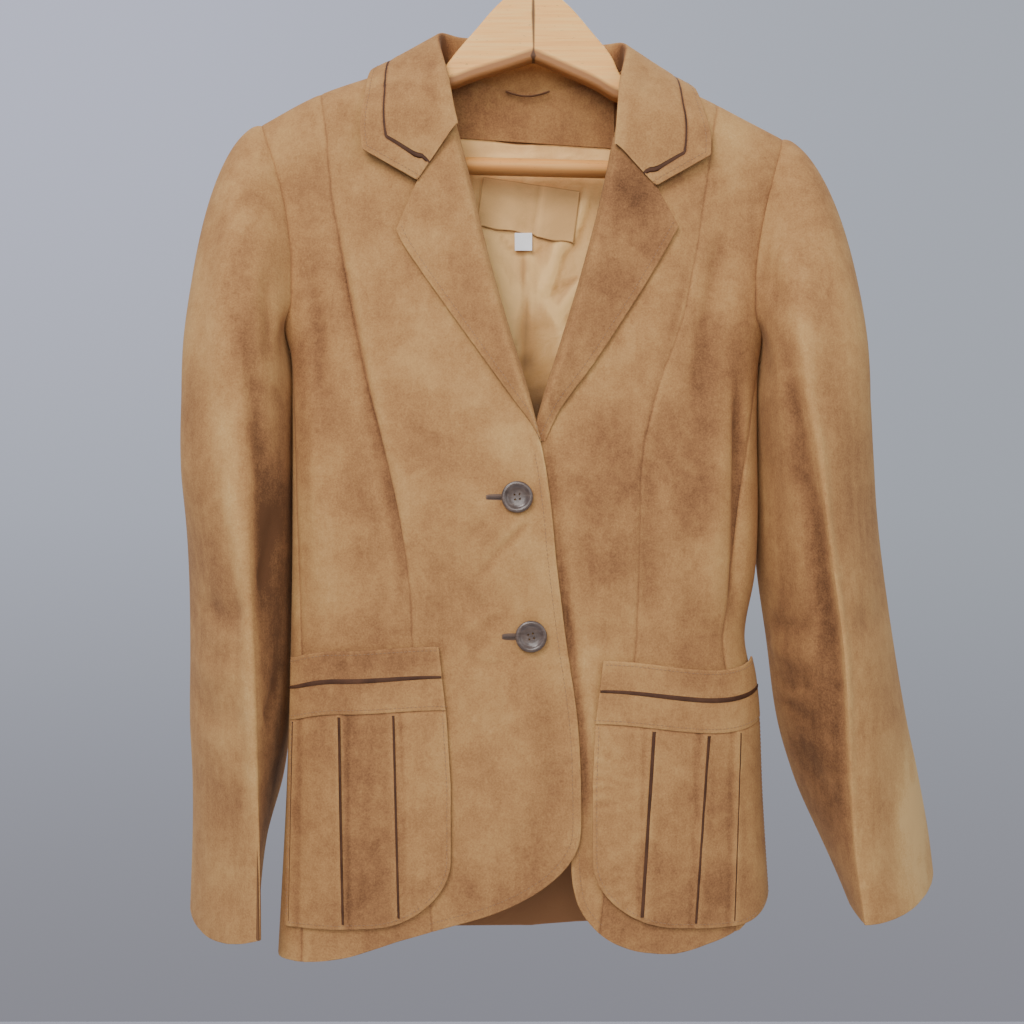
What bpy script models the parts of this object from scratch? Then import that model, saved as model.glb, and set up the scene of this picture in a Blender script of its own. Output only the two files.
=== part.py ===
"""Suede jacket, hip length and single breasted, hanging on a wooden hanger.

Metres, +Z up, the front faces -Y, and the origin is the inside top of the hook.
"_l" is the side at -X and "_r" the side at +X. The body is one smooth form, torsoPoint();
every panel is a wall between two copies of it, and whatever lies on a panel is moved out from it.
"""
import bpy
import bmesh
from math import atan2, cos, pi, sin, sqrt
from mathutils import Vector

# ---- walls and seams ----
SUEDE = 0.0020          # wall of the body and sleeves
FACING = 0.0016         # wall of collar, pockets and facings
SATIN = 0.0010          # wall of lining and label
SEAM = 0.00015          # half of the gap at a seam
REST = 0.0003           # gap under a piece that lies on another
SQUARENESS = 3.0        # 2 is an ellipse, more is boxier
SHOULDER_ROUND = 0.050  # height over which front and back close over the shoulder
LEFT, RIGHT = -1, 1

# ---- hanger ----
WOOD = 0.013            # thickness of the arms
RAIL_R = 0.0070
RAIL_Z = -0.2235
RAIL_TILT = -0.026      # the hanger hangs a little low on the right
WIRE_R = 0.00175
HOOK_R = 0.0218         # centre line of the hook's bend

# ---- buttons ----
BUTTON_R = 0.0118
BUTTON_H = 0.0036
HOLE_R = 0.0011
HOLE_AT = 0.0021
BUTTONS = {"upper": (-0.0121, -0.4857), "lower": (-0.0018, -0.5894)}


class Table:
    """Rows under named columns; the first column is the key, read between rows by a smooth curve."""

    def __init__(self, names, *rows):
        self.names = names.split()
        self.rows = sorted(rows)

    def at(self, key, name):
        column = self.names.index(name)
        keys = [row[0] for row in self.rows]
        values = [row[column] for row in self.rows]
        key = min(max(key, keys[0]), keys[-1])
        i = max(j for j in range(len(keys) - 1) if keys[j] <= key)
        span = keys[i + 1] - keys[i]
        part = (key - keys[i]) / span

        def slope(j):
            before, after = max(j - 1, 0), min(j + 1, len(keys) - 1)
            return (values[after] - values[before]) / (keys[after] - keys[before]) * span

        a, b = values[i], values[i + 1]
        rise = b - a
        return (a + slope(i) * part * (1 - part) ** 2 + rise * part * part * (3 - 2 * part)
                - slope(i + 1) * part * part * (1 - part))


# half widths, heights of the sides, and how far front and back stand from the hanger's plane
TORSO = Table("z left leftY right rightY front back",
              (-0.190, 0.240, 0.000, 0.226, 0.000, -0.026, 0.024),
              (-0.250, 0.226, -0.003, 0.212, 0.000, -0.034, 0.025),
              (-0.300, 0.214, -0.008, 0.200, -0.002, -0.041, 0.024),
              (-0.345, 0.199, -0.012, 0.187, -0.004, -0.048, 0.022),
              (-0.375, 0.188, -0.015, 0.177, -0.004, -0.053, 0.021),
              (-0.420, 0.185, -0.020, 0.1705, -0.004, -0.059, 0.020),
              (-0.500, 0.184, -0.026, 0.169, -0.004, -0.066, 0.020),
              (-0.600, 0.185, -0.030, 0.1695, -0.004, -0.066, 0.020),
              (-0.650, 0.187, -0.032, 0.1742, -0.002, -0.068, 0.021),
              (-0.720, 0.189, -0.034, 0.182, 0.000, -0.071, 0.022),
              (-0.840, 0.195, -0.036, 0.188, 0.003, -0.073, 0.024))

# the shoulder line from tip to tip, with the open neck in its middle
RIDGE = Table("x z",
              (-0.2150, -0.1905), (-0.1724, -0.1680), (-0.1300, -0.1530), (-0.0750, -0.1360),
              (0.0000, -0.1340), (0.0750, -0.1430), (0.1357, -0.1690), (0.1680, -0.1855),
              (0.1990, -0.2015))
TIP = {LEFT: -0.2150, RIGHT: 0.1990}
NECK = 0.0750
NECK_BACK = -0.1580     # height of the back neck seam at its middle
UNDERARM = {LEFT: -0.3720, RIGHT: -0.3780}

# distance of the armhole seam from the middle, and the seams of the body below it
ARMHOLE = Table("z left right",
                (-0.1900, 0.2150, 0.2010), (-0.2100, 0.2070, 0.1960), (-0.2345, 0.1990, 0.1885),
                (-0.2680, 0.1910, 0.1800), (-0.2980, 0.1872, 0.1745), (-0.3274, 0.1866, 0.1722),
                (-0.3488, 0.1874, 0.1728), (-0.3800, 0.1880, 0.1765))
PRINCESS = Table("z left right",
                 (-0.167, 0.1670, 0.1480), (-0.200, 0.1610, 0.1410), (-0.250, 0.1555, 0.1330),
                 (-0.300, 0.1475, 0.1245), (-0.350, 0.1385, 0.1135), (-0.400, 0.1275, 0.0950),
                 (-0.450, 0.1135, 0.0825), (-0.500, 0.1005, 0.0800), (-0.550, 0.0925, 0.0785),
                 (-0.600, 0.0900, 0.0760), (-0.700, 0.0825, 0.0615), (-0.840, 0.0730, 0.0450))
SIDE_SEAM = Table("z left right",       # as a share of the half width
                  (-0.378, 0.998, 0.998), (-0.430, 0.985, 0.950), (-0.490, 0.972, 0.902),
                  (-0.600, 0.943, 0.865), (-0.700, 0.920, 0.850), (-0.840, 0.890, 0.830))

# signed place of the roll line, and of the front edge below it
EDGE = Table("z left right",
             (-0.1360, -0.0750, 0.0750), (-0.1700, -0.0690, 0.0725), (-0.2000, -0.0612, 0.0668),
             (-0.2500, -0.0487, 0.0565), (-0.3000, -0.0370, 0.0442), (-0.3500, -0.0247, 0.0318),
             (-0.4000, -0.0106, 0.0182), (-0.4457, 0.0056, 0.0000), (-0.4860, 0.0125, -0.0300),
             (-0.5330, 0.0170, -0.0270), (-0.5890, 0.0240, -0.0210), (-0.6520, 0.0330, -0.0080),
             (-0.7000, 0.0352, 0.0080), (-0.7550, 0.0352, 0.0220), (-0.8400, 0.0352, 0.0220))
EDGE_TURN = -0.4457     # the break, where the roll line becomes the front edge
BREAK_ROW, CORNER_ROW = 0.47, 0.86

# the hem: a quarter ellipse at the front corner, then a smooth line round to the back
CORNER = {LEFT: ((-0.050, -0.715), (0.0852, 0.0880)), RIGHT: ((0.105, -0.755), (0.0830, 0.0710))}
HEM = Table("x z",
            (-0.195, -0.8370), (-0.144, -0.8310), (-0.099, -0.8180), (-0.050, -0.8030),
            (0.000, -0.8200), (0.105, -0.8260), (0.150, -0.8240), (0.188, -0.8190))
HEM_BACK = -0.8330
OVERLAP = 0.0034        # how far the lower front sinks under the upper one
BACK_COLUMNS = (0.0, 0.125, 0.25, 0.40, 0.55, 0.70, 0.82, 0.92, 1.0)
BACK_BEND = 1.3         # how late the rows of the back bend down to the side
SEAM_TURN, CENTRE_TURN = 0.0012, 0.0006     # half gaps at the side and the centre-back seams
ROWS = (0.0, 0.012, 0.035, 0.10, 0.18, 0.26, 0.32, 0.36, 0.385, 0.47, 0.57, 0.67, 0.77, 0.86, 0.94, 1.0)


# ---------------------------------------------------------------- small tools
def mix(a, b, part):
    return a + (b - a) * part


def ease(value, low, high):
    part = min(max((value - low) / (high - low), 0.0), 1.0)
    return part * part * (3 - 2 * part)


def spread(count):
    return [i / (count - 1) for i in range(count)]


def nameOf(side):
    return "left" if side == LEFT else "right"


def tag(side):
    return "_l" if side == LEFT else "_r"


def clearScene():
    for obj in list(bpy.data.objects):
        bpy.data.objects.remove(obj, do_unlink=True)


def material(name, colour, roughness, metallic=0.0):
    made = bpy.data.materials.new(name)
    made.use_nodes = True
    shader = made.node_tree.nodes["Principled BSDF"]
    shader.inputs["Base Color"].default_value = (*colour, 1.0)
    shader.inputs["Roughness"].default_value = roughness
    shader.inputs["Metallic"].default_value = metallic
    return made


def finishMesh(name, shell, finish, sharp=0.7):
    bmesh.ops.recalc_face_normals(shell, faces=shell.faces)
    mesh = bpy.data.meshes.new(name)
    shell.to_mesh(mesh)
    shell.free()
    mesh.shade_smooth()
    mesh.set_sharp_from_angle(angle=sharp)
    mesh.materials.append(finish)
    obj = bpy.data.objects.new(name, mesh)
    bpy.context.scene.collection.objects.link(obj)
    return obj


def facet(shell, a, b, c, d):
    """Two triangles across the shorter diagonal, so that layers on one another bend alike."""
    if (a.co - c.co).length <= (b.co - d.co).length:
        shell.faces.new((a, b, c))
        shell.faces.new((a, c, d))
    else:
        shell.faces.new((a, b, d))
        shell.faces.new((b, c, d))


def wall(name, outer, inner, finish):
    """A closed wall between two grids of points."""
    shell = bmesh.new()
    skins = [[[shell.verts.new(p) for p in row] for row in grid] for grid in (outer, inner)]
    rows, columns = len(outer), len(outer[0])
    for r in range(rows - 1):
        for c in range(columns - 1):
            for skin in skins:
                facet(shell, skin[r][c], skin[r][c + 1], skin[r + 1][c + 1], skin[r + 1][c])
    out, back = skins
    for r in (0, rows - 1):
        for c in range(columns - 1):
            shell.faces.new((out[r][c], out[r][c + 1], back[r][c + 1], back[r][c]))
    for c in (0, columns - 1):
        for r in range(rows - 1):
            shell.faces.new((out[r][c], out[r + 1][c], back[r + 1][c], back[r][c]))
    return finishMesh(name, shell, finish)


def layered(name, place, rows, columns, low, high, finish):
    """A wall from place(row, column, out) between the two distances low and high."""
    grids = [[[place(r, c, out) for c in columns] for r in rows] for out in (high, low)]
    return wall(name, grids[0], grids[1], finish)


# ---------------------------------------------------------------- the body's form
def ringShare(turn):
    """Share of the width and of the depth at a quarter's turn from 0 (front or back) to 1 (side)."""
    across, along = sin(turn * pi / 2), cos(turn * pi / 2)
    size = (abs(across) ** SQUARENESS + abs(along) ** SQUARENESS) ** (1 / SQUARENESS)
    return across / size, along / size


def turnOf(x, z):
    """Turn on the front of the body, from 0 at the middle to 1 (or -1) at the side."""
    half = TORSO.at(z, "left" if x < 0 else "right")
    share = min(abs(x) / half, 1.0)
    turn = atan2(share, (1 - share ** SQUARENESS) ** (1 / SQUARENESS)) / (pi / 2)
    return turn if x >= 0 else -turn


def torsoPoint(turn, z, out=0.0):
    """Point of the body: turn 0 is the middle of the front, 1 the right side, -1 the left side,
    and 2 or -2 the middle of the back."""
    side = RIGHT if turn >= 0 else LEFT
    half = TORSO.at(z, nameOf(side)) + out
    sideY = TORSO.at(z, nameOf(side) + "Y")
    amount = abs(turn)
    if amount <= 1:
        across, along = ringShare(amount)
        y = sideY + (TORSO.at(z, "front") - out - sideY) * along
    else:
        across, along = ringShare(2 - amount)
        y = sideY + (TORSO.at(z, "back") + out - sideY) * along
    x = side * half * across
    drop = max(RIDGE.at(x, "z") + out - z, 0.0) / SHOULDER_ROUND
    if drop < 1:
        y *= sqrt(1 - (1 - drop) ** 2)
    return Vector((x, y, z))


def dip(x, z):
    """The right front sinks where the left one laps over it."""
    lapped = ease(EDGE.at(z, "left") + 0.034 - x, 0.0, 0.022)
    return -OVERLAP * lapped * ease(-z, 0.375, 0.415)


def frontPoint(x, z, out=0.0, side=LEFT):
    if side == RIGHT:
        out += dip(x, z)
    return torsoPoint(turnOf(x, z), z, out)


def edgeLevels(side):
    """Heights of the rows on the inner side of a front, from the shoulder to the corner."""
    top, low = RIDGE.at(side * NECK, "z"), CORNER[side][0][1]
    levels = [mix(top, EDGE_TURN, v / BREAK_ROW) for v in ROWS if v <= BREAK_ROW]
    levels += [mix(EDGE_TURN, low, (v - BREAK_ROW) / (CORNER_ROW - BREAK_ROW))
               for v in ROWS if BREAK_ROW < v <= CORNER_ROW]
    return levels


def edgeAt(side, z):
    """Place of the roll line or front edge, straight between the rows of the front."""
    levels = edgeLevels(side)
    z = min(z, levels[0])
    for above, below in zip(levels, levels[1:]):
        if z >= below:
            part = (above - z) / (above - below)
            return mix(EDGE.at(above, nameOf(side)), EDGE.at(below, nameOf(side)), part)
    return EDGE.at(z, nameOf(side))


def hemAt(x, side):
    """Height of the hem under x on one of the fronts."""
    (midX, midZ), (across, down) = CORNER[side]
    if side * (x - midX) > 0:
        return HEM.at(x, "z")
    share = min(abs(x - midX) / across, 1.0)
    return midZ - down * sqrt(1 - share * share)


# ---------------------------------------------------------------- body panels
def princessX(side, z, gap):
    return side * (PRINCESS.at(z, nameOf(side)) + gap)


def princessTop(side):
    x = princessX(side, -0.170, 0.0)
    return RIDGE.at(x, "z")


def centreFront(side, finish):
    """From the princess seam to the roll line and the front edge."""
    key = nameOf(side)
    levels = edgeLevels(side)
    columns = (0.0, 0.22, 0.44, 0.64, 0.82, 0.94, 1.0)
    princessLow = hemAt(princessX(side, -0.82, 0.0), side)

    def place(v, u, out):
        z = mix(princessTop(side), princessLow, v)
        start = princessX(side, z, -SEAM)
        level = levels[min(ROWS.index(v), len(levels) - 1)]
        edge = EDGE.at(level, key)
        height = mix(z, level, u)
        x = mix(start, edge, u)
        if v > CORNER_ROW:
            low = mix(princessX(side, princessLow, -SEAM), edge, sin(u * pi / 2) if u > 0 else 0.0)
            x = mix(x, low, (v - CORNER_ROW) / (1 - CORNER_ROW))
            bottom = hemAt(x, side)
            upper = mix(mix(princessTop(side), princessLow, CORNER_ROW), levels[-1], u)
            height = mix(upper, bottom, (v - CORNER_ROW) / (1 - CORNER_ROW))
        if v == 0.0:
            height = RIDGE.at(x, "z") + out
            return Vector((x, -SEAM, height))
        return frontPoint(x, height, out, side)

    return layered("front" + tag(side), place, ROWS, columns, -SUEDE, 0.0, finish)


def armholePoint(side, v, front, gap):
    """The armhole from the shoulder tip (v 0) to the underarm (v 1), on the front or the back."""
    tipZ = RIDGE.at(TIP[side], "z")
    z = mix(tipZ, UNDERARM[side], (1 - cos(v * pi)) / 2)
    half = TORSO.at(z, nameOf(side))
    share = min((ARMHOLE.at(z, nameOf(side)) - gap) / half, 0.9995)
    turn = atan2(share, (1 - share ** SQUARENESS) ** (1 / SQUARENESS)) / (pi / 2)
    turn = mix(turn, 1.0, ease(v, 0.70, 1.0))
    return turn if front else 2 - turn, z


ARM_PART = 0.385        # share of the rows above the underarm


def outerSeam(side, v, front, gap):
    """Turn and height along the armhole and then down the side seam."""
    if v <= ARM_PART:
        return armholePoint(side, v / ARM_PART, front, SEAM)
    z = mix(UNDERARM[side], HEM.at(side * 0.18, "z"), (v - ARM_PART) / (1 - ARM_PART))
    share = SIDE_SEAM.at(z, nameOf(side))
    turn = atan2(share, (1 - share ** SQUARENESS) ** (1 / SQUARENESS)) / (pi / 2)
    return turn + (gap if not front else -gap), z


def sideFront(side, finish):
    """From the princess seam to the armhole and the side seam."""
    columns = (0.0, 0.30, 0.58, 0.82, 1.0)
    low = hemAt(princessX(side, -0.82, 0.0), side)

    def place(v, u, out):
        startZ = mix(princessTop(side), low, v)
        startTurn = abs(turnOf(princessX(side, startZ, SEAM), startZ))
        endTurn, endZ = outerSeam(side, v, True, SEAM_TURN)
        z = mix(startZ, endZ, u)
        turn = mix(startTurn, endTurn, u)
        if v == 1.0:
            z = hemAt(torsoPoint(side * turn, z).x, side)
        if v == 0.0:
            x = mix(princessX(side, startZ, SEAM), TIP[side], u)
            return Vector((x, -SEAM, RIDGE.at(x, "z") + out))
        return torsoPoint(side * turn, z, out)

    return layered("side_front" + tag(side), place, ROWS, columns, -SUEDE, 0.0, finish)


def backTurn(x, z):
    """Turn of a point on the back from its distance to the middle."""
    turn = turnOf(x, z)
    return RIGHT * (2 - turn) if x >= 0 else LEFT * (2 + turn)


def neckSeam(x):
    """Height of the back neck seam, from the middle up to the shoulder."""
    end = RIDGE.at(NECK if x > 0 else -NECK, "z")
    return mix(NECK_BACK, end, min(abs(x) / NECK, 1.0) ** 2)


def neckPoint(x, out):
    z = neckSeam(x)
    return torsoPoint(backTurn(x, z), z, out)


def backPoint(side, v, u, out):
    """Point of the back: v from the shoulder to the hem, u from the middle to the side."""
    endTurn, endZ = outerSeam(side, v, False, SEAM_TURN)
    turn = mix(2 - CENTRE_TURN, endTurn, u)
    z = mix(mix(NECK_BACK, HEM_BACK, v), endZ, u ** BACK_BEND)
    if v == 0.0:
        reach = max(abs(TIP[side]) * u, SEAM)
        if reach < NECK:
            return neckPoint(side * reach, out)
        return Vector((side * reach, SEAM, RIDGE.at(side * reach, "z") + out))
    return torsoPoint(side * turn, z, out)


def around(stops, value):
    """The stops on both sides of a value, and its share between them."""
    i = max(j for j in range(len(stops) - 1) if stops[j] <= value)
    return stops[i], stops[i + 1], (value - stops[i]) / (stops[i + 1] - stops[i])


def backFacet(side, v, u, out):
    """Point on the flat faces between the rows and columns of the back."""
    above, below, down = around(ROWS, v)
    near, far, across = around(BACK_COLUMNS, u)
    upper, lower = [mix(backPoint(side, row, near, out), backPoint(side, row, far, out), across)
                    for row in (above, below)]
    return mix(upper, lower, down)


def backPanel(side, finish):
    """From the centre-back seam round the side to the side seam and the armhole."""
    def place(v, u, out):
        return backPoint(side, v, u, out)

    return layered("back" + tag(side), place, ROWS, BACK_COLUMNS, -SUEDE, 0.0, finish)


# ---------------------------------------------------------------- sleeves
# each ring has a front fold, an outer side, a back and an inner side
SLEEVE = {
    LEFT: Table("z outerX outerY foldX foldY innerX innerY backX backY",
                (-0.405, -0.2730, -0.004, -0.2170, -0.074, -0.1880, -0.008, -0.2280, 0.038),
                (-0.450, -0.2742, -0.002, -0.2140, -0.078, -0.1882, -0.004, -0.2290, 0.040),
                (-0.530, -0.2722, 0.000, -0.2085, -0.081, -0.1895, 0.000, -0.2270, 0.041),
                (-0.600, -0.2712, 0.000, -0.2050, -0.081, -0.1905, 0.000, -0.2250, 0.040),
                (-0.660, -0.2715, 0.000, -0.2035, -0.080, -0.1915, 0.000, -0.2270, 0.036),
                (-0.705, -0.2690, -0.002, -0.2025, -0.079, -0.1950, 0.000, -0.2330, 0.030),
                (-0.750, -0.2680, -0.006, -0.2015, -0.078, -0.1965, -0.030, -0.2450, 0.022),
                (-0.812, -0.2690, -0.010, -0.2010, -0.078, -0.1985, -0.058, -0.2560, 0.010)),
    RIGHT: Table("z outerX outerY foldX foldY innerX innerY backX backY",
                 (-0.410, 0.2640, -0.004, 0.2025, -0.074, 0.1765, -0.008, 0.2180, 0.038),
                 (-0.450, 0.2680, -0.002, 0.2080, -0.078, 0.1775, -0.004, 0.2220, 0.040),
                 (-0.530, 0.2765, 0.000, 0.2180, -0.081, 0.1795, 0.000, 0.2290, 0.041),
                 (-0.600, 0.2862, 0.000, 0.2270, -0.081, 0.1865, 0.000, 0.2370, 0.040),
                 (-0.660, 0.2970, 0.002, 0.2310, -0.080, 0.1945, 0.000, 0.2490, 0.038),
                 (-0.705, 0.3070, 0.004, 0.2340, -0.080, 0.2070, -0.002, 0.2630, 0.034),
                 (-0.750, 0.3150, 0.008, 0.2370, -0.080, 0.2220, -0.018, 0.2800, 0.030),
                 (-0.800, 0.3210, 0.010, 0.2430, -0.081, 0.2395, -0.052, 0.2980, 0.024))}
FOLD_SHARP, ROUND = 1.25, 1.0   # powers of the quarter arcs at the fold and elsewhere
CUFF_RISE = {LEFT: 0.008, RIGHT: 0.022}     # how far the cuff's back corner stands higher
CAP_OUT = {LEFT: 0.030, RIGHT: 0.028}
RING = 22
SEAM_FRONT, SEAM_BACK = 13, 20              # columns where upper and under sleeve meet
ARM_GAP = 0.0012        # between the armhole and the head of the sleeve
SLEEVE_ROWS = (0.0, 0.10, 0.24, 0.42, 0.62, 0.82)


def quarterArc(start, end, corner, part, power):
    """From start to end, bulging towards the corner point."""
    a = cos(part * pi / 2) ** power
    b = sin(part * pi / 2) ** power
    centre = start + end - corner
    return centre + (start - centre) * a + (end - centre) * b


def sleeveRing(side, z, around, out):
    """Point on a level ring; around 0 is the outer side, 0.25 the front fold, 0.5 the inner side."""
    row = SLEEVE[side]
    outer, fold, inner, back = [Vector((row.at(z, key + "X"), row.at(z, key + "Y"), 0.0))
                                for key in ("outer", "fold", "inner", "back")]
    outer.x += side * out
    inner.x -= side * out
    fold.y -= out
    back.y += out
    stops = (outer, fold, inner, back, outer)
    quarter = min(int(around * 4), 3)
    part = around * 4 - quarter
    start, end = stops[quarter], stops[quarter + 1]
    corner = Vector((start.x, end.y, 0.0)) if quarter in (0, 2) else Vector((end.x, start.y, 0.0))
    power = FOLD_SHARP if quarter in (0, 1) else ROUND
    point = quarterArc(start, end, corner, part, power)
    cuff = SLEEVE[side].rows[0][0]
    low = ease(-z, -cuff - 0.10, -cuff)
    lift = CUFF_RISE[side] * low * (point.y - fold.y) / (back.y - fold.y)
    return Vector((point.x, point.y, z + lift))


def armholeLoop(side, around, out):
    """Point of the armhole for a share around the sleeve: 0 the tip, 0.25 front, 0.5 underarm."""
    front = around <= 0.5
    v = around * 2 if front else (1 - around) * 2
    turn, z = armholePoint(side, v, front, -ARM_GAP)
    point = torsoPoint(side * turn, z, out)
    if v == 0.0:
        point = Vector((TIP[side] + side * ARM_GAP, 0.0, RIDGE.at(TIP[side], "z") + out))
    return point


def sleevePoint(side, along, around, out):
    """along runs from 0 at the armhole to 1 at the top ring, and to 2 at the cuff."""
    rows = SLEEVE[side].rows
    top, cuff = rows[-1][0], rows[0][0]
    if along >= 1:
        return sleeveRing(side, mix(top, cuff, along - 1), around, out)
    start, end = armholeLoop(side, around, 0.0), sleeveRing(side, top, around, 0.0)
    height = (cos(around * 2 * pi) + 1) / 2
    reach = (end - start).length
    leave = Vector((side * mix(0.012, CAP_OUT[side], height) * min(reach / 0.08, 1.0), 0.0, 0.0))
    sideways = 0.35 * (end.y - start.y)
    leave.y = sideways
    arrive = Vector((0.0, 0.0, 0.55 * reach * mix(0.5, 1.0, height)))
    p1, p2 = start + leave, end + arrive
    t, s = along, 1 - along
    point = start * s ** 3 + p1 * (3 * s * s * t) + p2 * (3 * s * t * t) + end * t ** 3
    ahead = sleeveRing(side, top, around, 0.01) - sleeveRing(side, top, around, 0.0)
    hub = (armholeLoop(side, 0.0, 0.0) + armholeLoop(side, 0.5, 0.0)) / 2
    radial = Vector((0.0, (start.y - hub.y) * 2.5, start.z - hub.z))
    ahead = (radial.normalized() * s + ahead.normalized() * t).normalized()
    return point + ahead * out


def sleeve(side, finish):
    rows = list(SLEEVE_ROWS) + [1.0, 1.10, 1.22, 1.35, 1.49, 1.62, 1.75, 1.88, 2.0]
    parts = {"sleeve_upper": range(SEAM_BACK - RING, SEAM_FRONT + 1),
             "sleeve_under": range(SEAM_FRONT, SEAM_BACK + 1)}
    for key, columns in parts.items():
        shares = [c / RING for c in columns]
        shares[0] += 0.0006
        shares[-1] -= 0.0006

        def place(along, share, out):
            return sleevePoint(side, along, share % 1.0, out)

        layered(key + tag(side), place, rows, shares, -SUEDE, 0.0, finish)


# ---------------------------------------------------------------- lapels
# the free edge of each lapel, by its share of the roll line
LAPEL = Table("v leftX leftZ rightX rightZ",
              (0.00, 0.0000, -0.4440, 0.0135, -0.4290), (0.12, -0.0140, -0.4140, 0.0234, -0.4150),
              (0.40, -0.0474, -0.3663, 0.0497, -0.3782), (0.70, -0.0777, -0.3226, 0.0804, -0.3298),
              (0.90, -0.0968, -0.2939, 0.0998, -0.2949), (1.00, -0.1030, -0.2815, 0.1085, -0.2790))
GORGE = {LEFT: -0.2030, RIGHT: -0.2085}
NOTCH_BEND = 0.0037     # how far the notch lies above a straight line to the lapel's point
LAPEL_END = {LEFT: -0.4440, RIGHT: -0.4290}
# across the lapel: share of its width, then place of the outer and the inner skin at the roll
LAPEL_ROLL = Table("column share topIn topOut lowIn lowOut",
                   (0, 0.00, 0.0027, -0.0020, 0.0005, -0.0020),
                   (1, 0.00, 0.0031, 0.0024, 0.0006, 0.0010),
                   (2, 0.00, 0.0010, 0.0062, 0.0000, 0.0036),
                   (3, 0.12, 0.0000, 0.0078, 0.0000, 0.0054),
                   (4, 0.45, 0.0000, 0.0066, 0.0000, 0.0046),
                   (5, 0.80, 0.0000, 0.0046, 0.0000, 0.0028),
                   (6, 1.00, 0.0000, 0.0034, 0.0000, 0.0017))


def lapel(side, finish):
    key = nameOf(side)
    between = [z for z in edgeLevels(side) if LAPEL_END[side] < z < GORGE[side] - 0.01]
    levels = [LAPEL_END[side]] + between[::-1] + [GORGE[side]]

    def place(level, column, out):
        skin = "top" if out > 0 else "low"
        v = (level - LAPEL_END[side]) / (GORGE[side] - LAPEL_END[side])
        share = LAPEL_ROLL.rows[column][1]
        height = mix(level, LAPEL.at(v, key + "Z"), share)
        height += NOTCH_BEND * sin(share * pi) * ease(v, 0.8, 1.0)
        x = mix(edgeAt(side, level), LAPEL.at(v, key + "X"), share)
        x -= side * LAPEL_ROLL.at(column, skin + "In")
        return frontPoint(x, height, LAPEL_ROLL.at(column, skin + "Out"), side)

    layered("lapel" + tag(side), place, levels, range(7), -1.0, 1.0, finish)


# ---------------------------------------------------------------- collar
# half of the collar, from the gorge (s 0) round the shoulder to the middle of the back (s 1)
COLLAR = Table("s rollX rollY rollZ midX midY midZ edgeX edgeY edgeZ lean rightX rightZ",
               (0.00, 0.0588, -0.0375, -0.1990, 0.0885, -0.0360, -0.2400,
                0.1310, -0.0340, -0.2185, 0.000, 0.0055, -0.0035),
               (0.12, 0.0625, -0.0350, -0.1830, 0.0960, -0.0355, -0.2010,
                0.1330, -0.0320, -0.2020, 0.005, 0.0040, -0.0040),
               (0.26, 0.0670, -0.0275, -0.1580, 0.0990, -0.0305, -0.1740,
                0.1315, -0.0275, -0.1830, 0.025, 0.0020, -0.0020),
               (0.42, 0.0745, -0.0020, -0.1230, 0.1000, -0.0010, -0.1370,
                0.1255, 0.0000, -0.1515, 0.055, 0.0000, 0.0000),
               (0.60, 0.0570, 0.0180, -0.1165, 0.0780, 0.0255, -0.1380,
                0.1000, 0.0285, -0.1720, 0.050, 0.0000, 0.0000),
               (0.80, 0.0290, 0.0255, -0.1150, 0.0400, 0.0325, -0.1430,
                0.0510, 0.0310, -0.1860, 0.050, 0.0000, 0.0000),
               (1.00, 0.0000, 0.0275, -0.1145, 0.0000, 0.0345, -0.1450,
                0.0000, 0.0315, -0.1890, 0.050, 0.0000, 0.0000))
BASE, ROLL_IN, ROLL, ROLL_OUT, GORGE_TRIM, MID, TRIM, EDGE_T = 0.0, 0.20, 0.27, 0.34, 0.54, 0.68, 0.84, 1.0
TRIM_GAP = 0.0022       # half the gap under the piping, in the same units
TRIM_START = Table("t s", (0.54, 0.0), (0.60, 0.040), (0.68, 0.073), (0.84, 0.085))
STATIONS = (0.0, 0.06, 0.12, 0.26, 0.34, 0.42, 0.51, 0.60, 0.80, 1.0)


def collarBase(side, s):
    """Foot of the stand: along the roll line in front, then along the back neck seam."""
    if s < 0.42:
        z = mix(GORGE[side] + 0.0026, RIDGE.at(side * NECK, "z") + 0.001, s / 0.42)
        x = edgeAt(side, z) - side * 0.0024
        return frontPoint(x, z, -0.0012 + 0.002 * s / 0.42, side)
    reach = NECK * (1 - (s - 0.42) / 0.58) - 0.0018 * (1 - s) / 0.58
    return neckPoint(side * max(reach, 0.00001), -0.0002) + Vector((0.0, 0.0, 0.0006))


def collarPoint(side, s, t):
    """t runs from the foot of the stand over the roll to the free edge."""
    base = collarBase(side, s)
    roll, mid, edge = [Vector((side * COLLAR.at(s, key + "X"), COLLAR.at(s, key + "Y"),
                               COLLAR.at(s, key + "Z"))) for key in ("roll", "mid", "edge")]
    for point in (roll, mid, edge):
        point.z -= COLLAR.at(s, "lean") * point.x
        if side == RIGHT:
            point.x += COLLAR.at(s, "rightX")
            point.z += COLLAR.at(s, "rightZ")
    away = (mid - base).normalized()
    flat = Vector((away.x, away.y, 0.0)).normalized()
    stops = ((BASE, base), (ROLL_IN, roll - flat * 0.0022 - Vector((0, 0, 0.004)) * min(s / 0.3, 1.0)),
             (ROLL, roll), (ROLL_OUT, mix(roll, mid, 0.16) + Vector((0, -0.001 if s < 0.3 else 0, 0.0005))),
             (MID, mid), (EDGE_T, edge))
    for (t0, p0), (t1, p1) in zip(stops, stops[1:]):
        if t <= t1:
            return mix(p0, p1, (t - t0) / (t1 - t0))
    return edge


def collarGrid(columns, rowPlace):
    """Rows of points from the left gorge round the back to the right one."""
    grid = []
    for side, rows in ((LEFT, STATIONS), (RIGHT, reversed(STATIONS[:-1]))):
        for s in rows:
            grid.append([collarPoint(side, *rowPlace(s, t)) for t in columns])
    return grid


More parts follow.
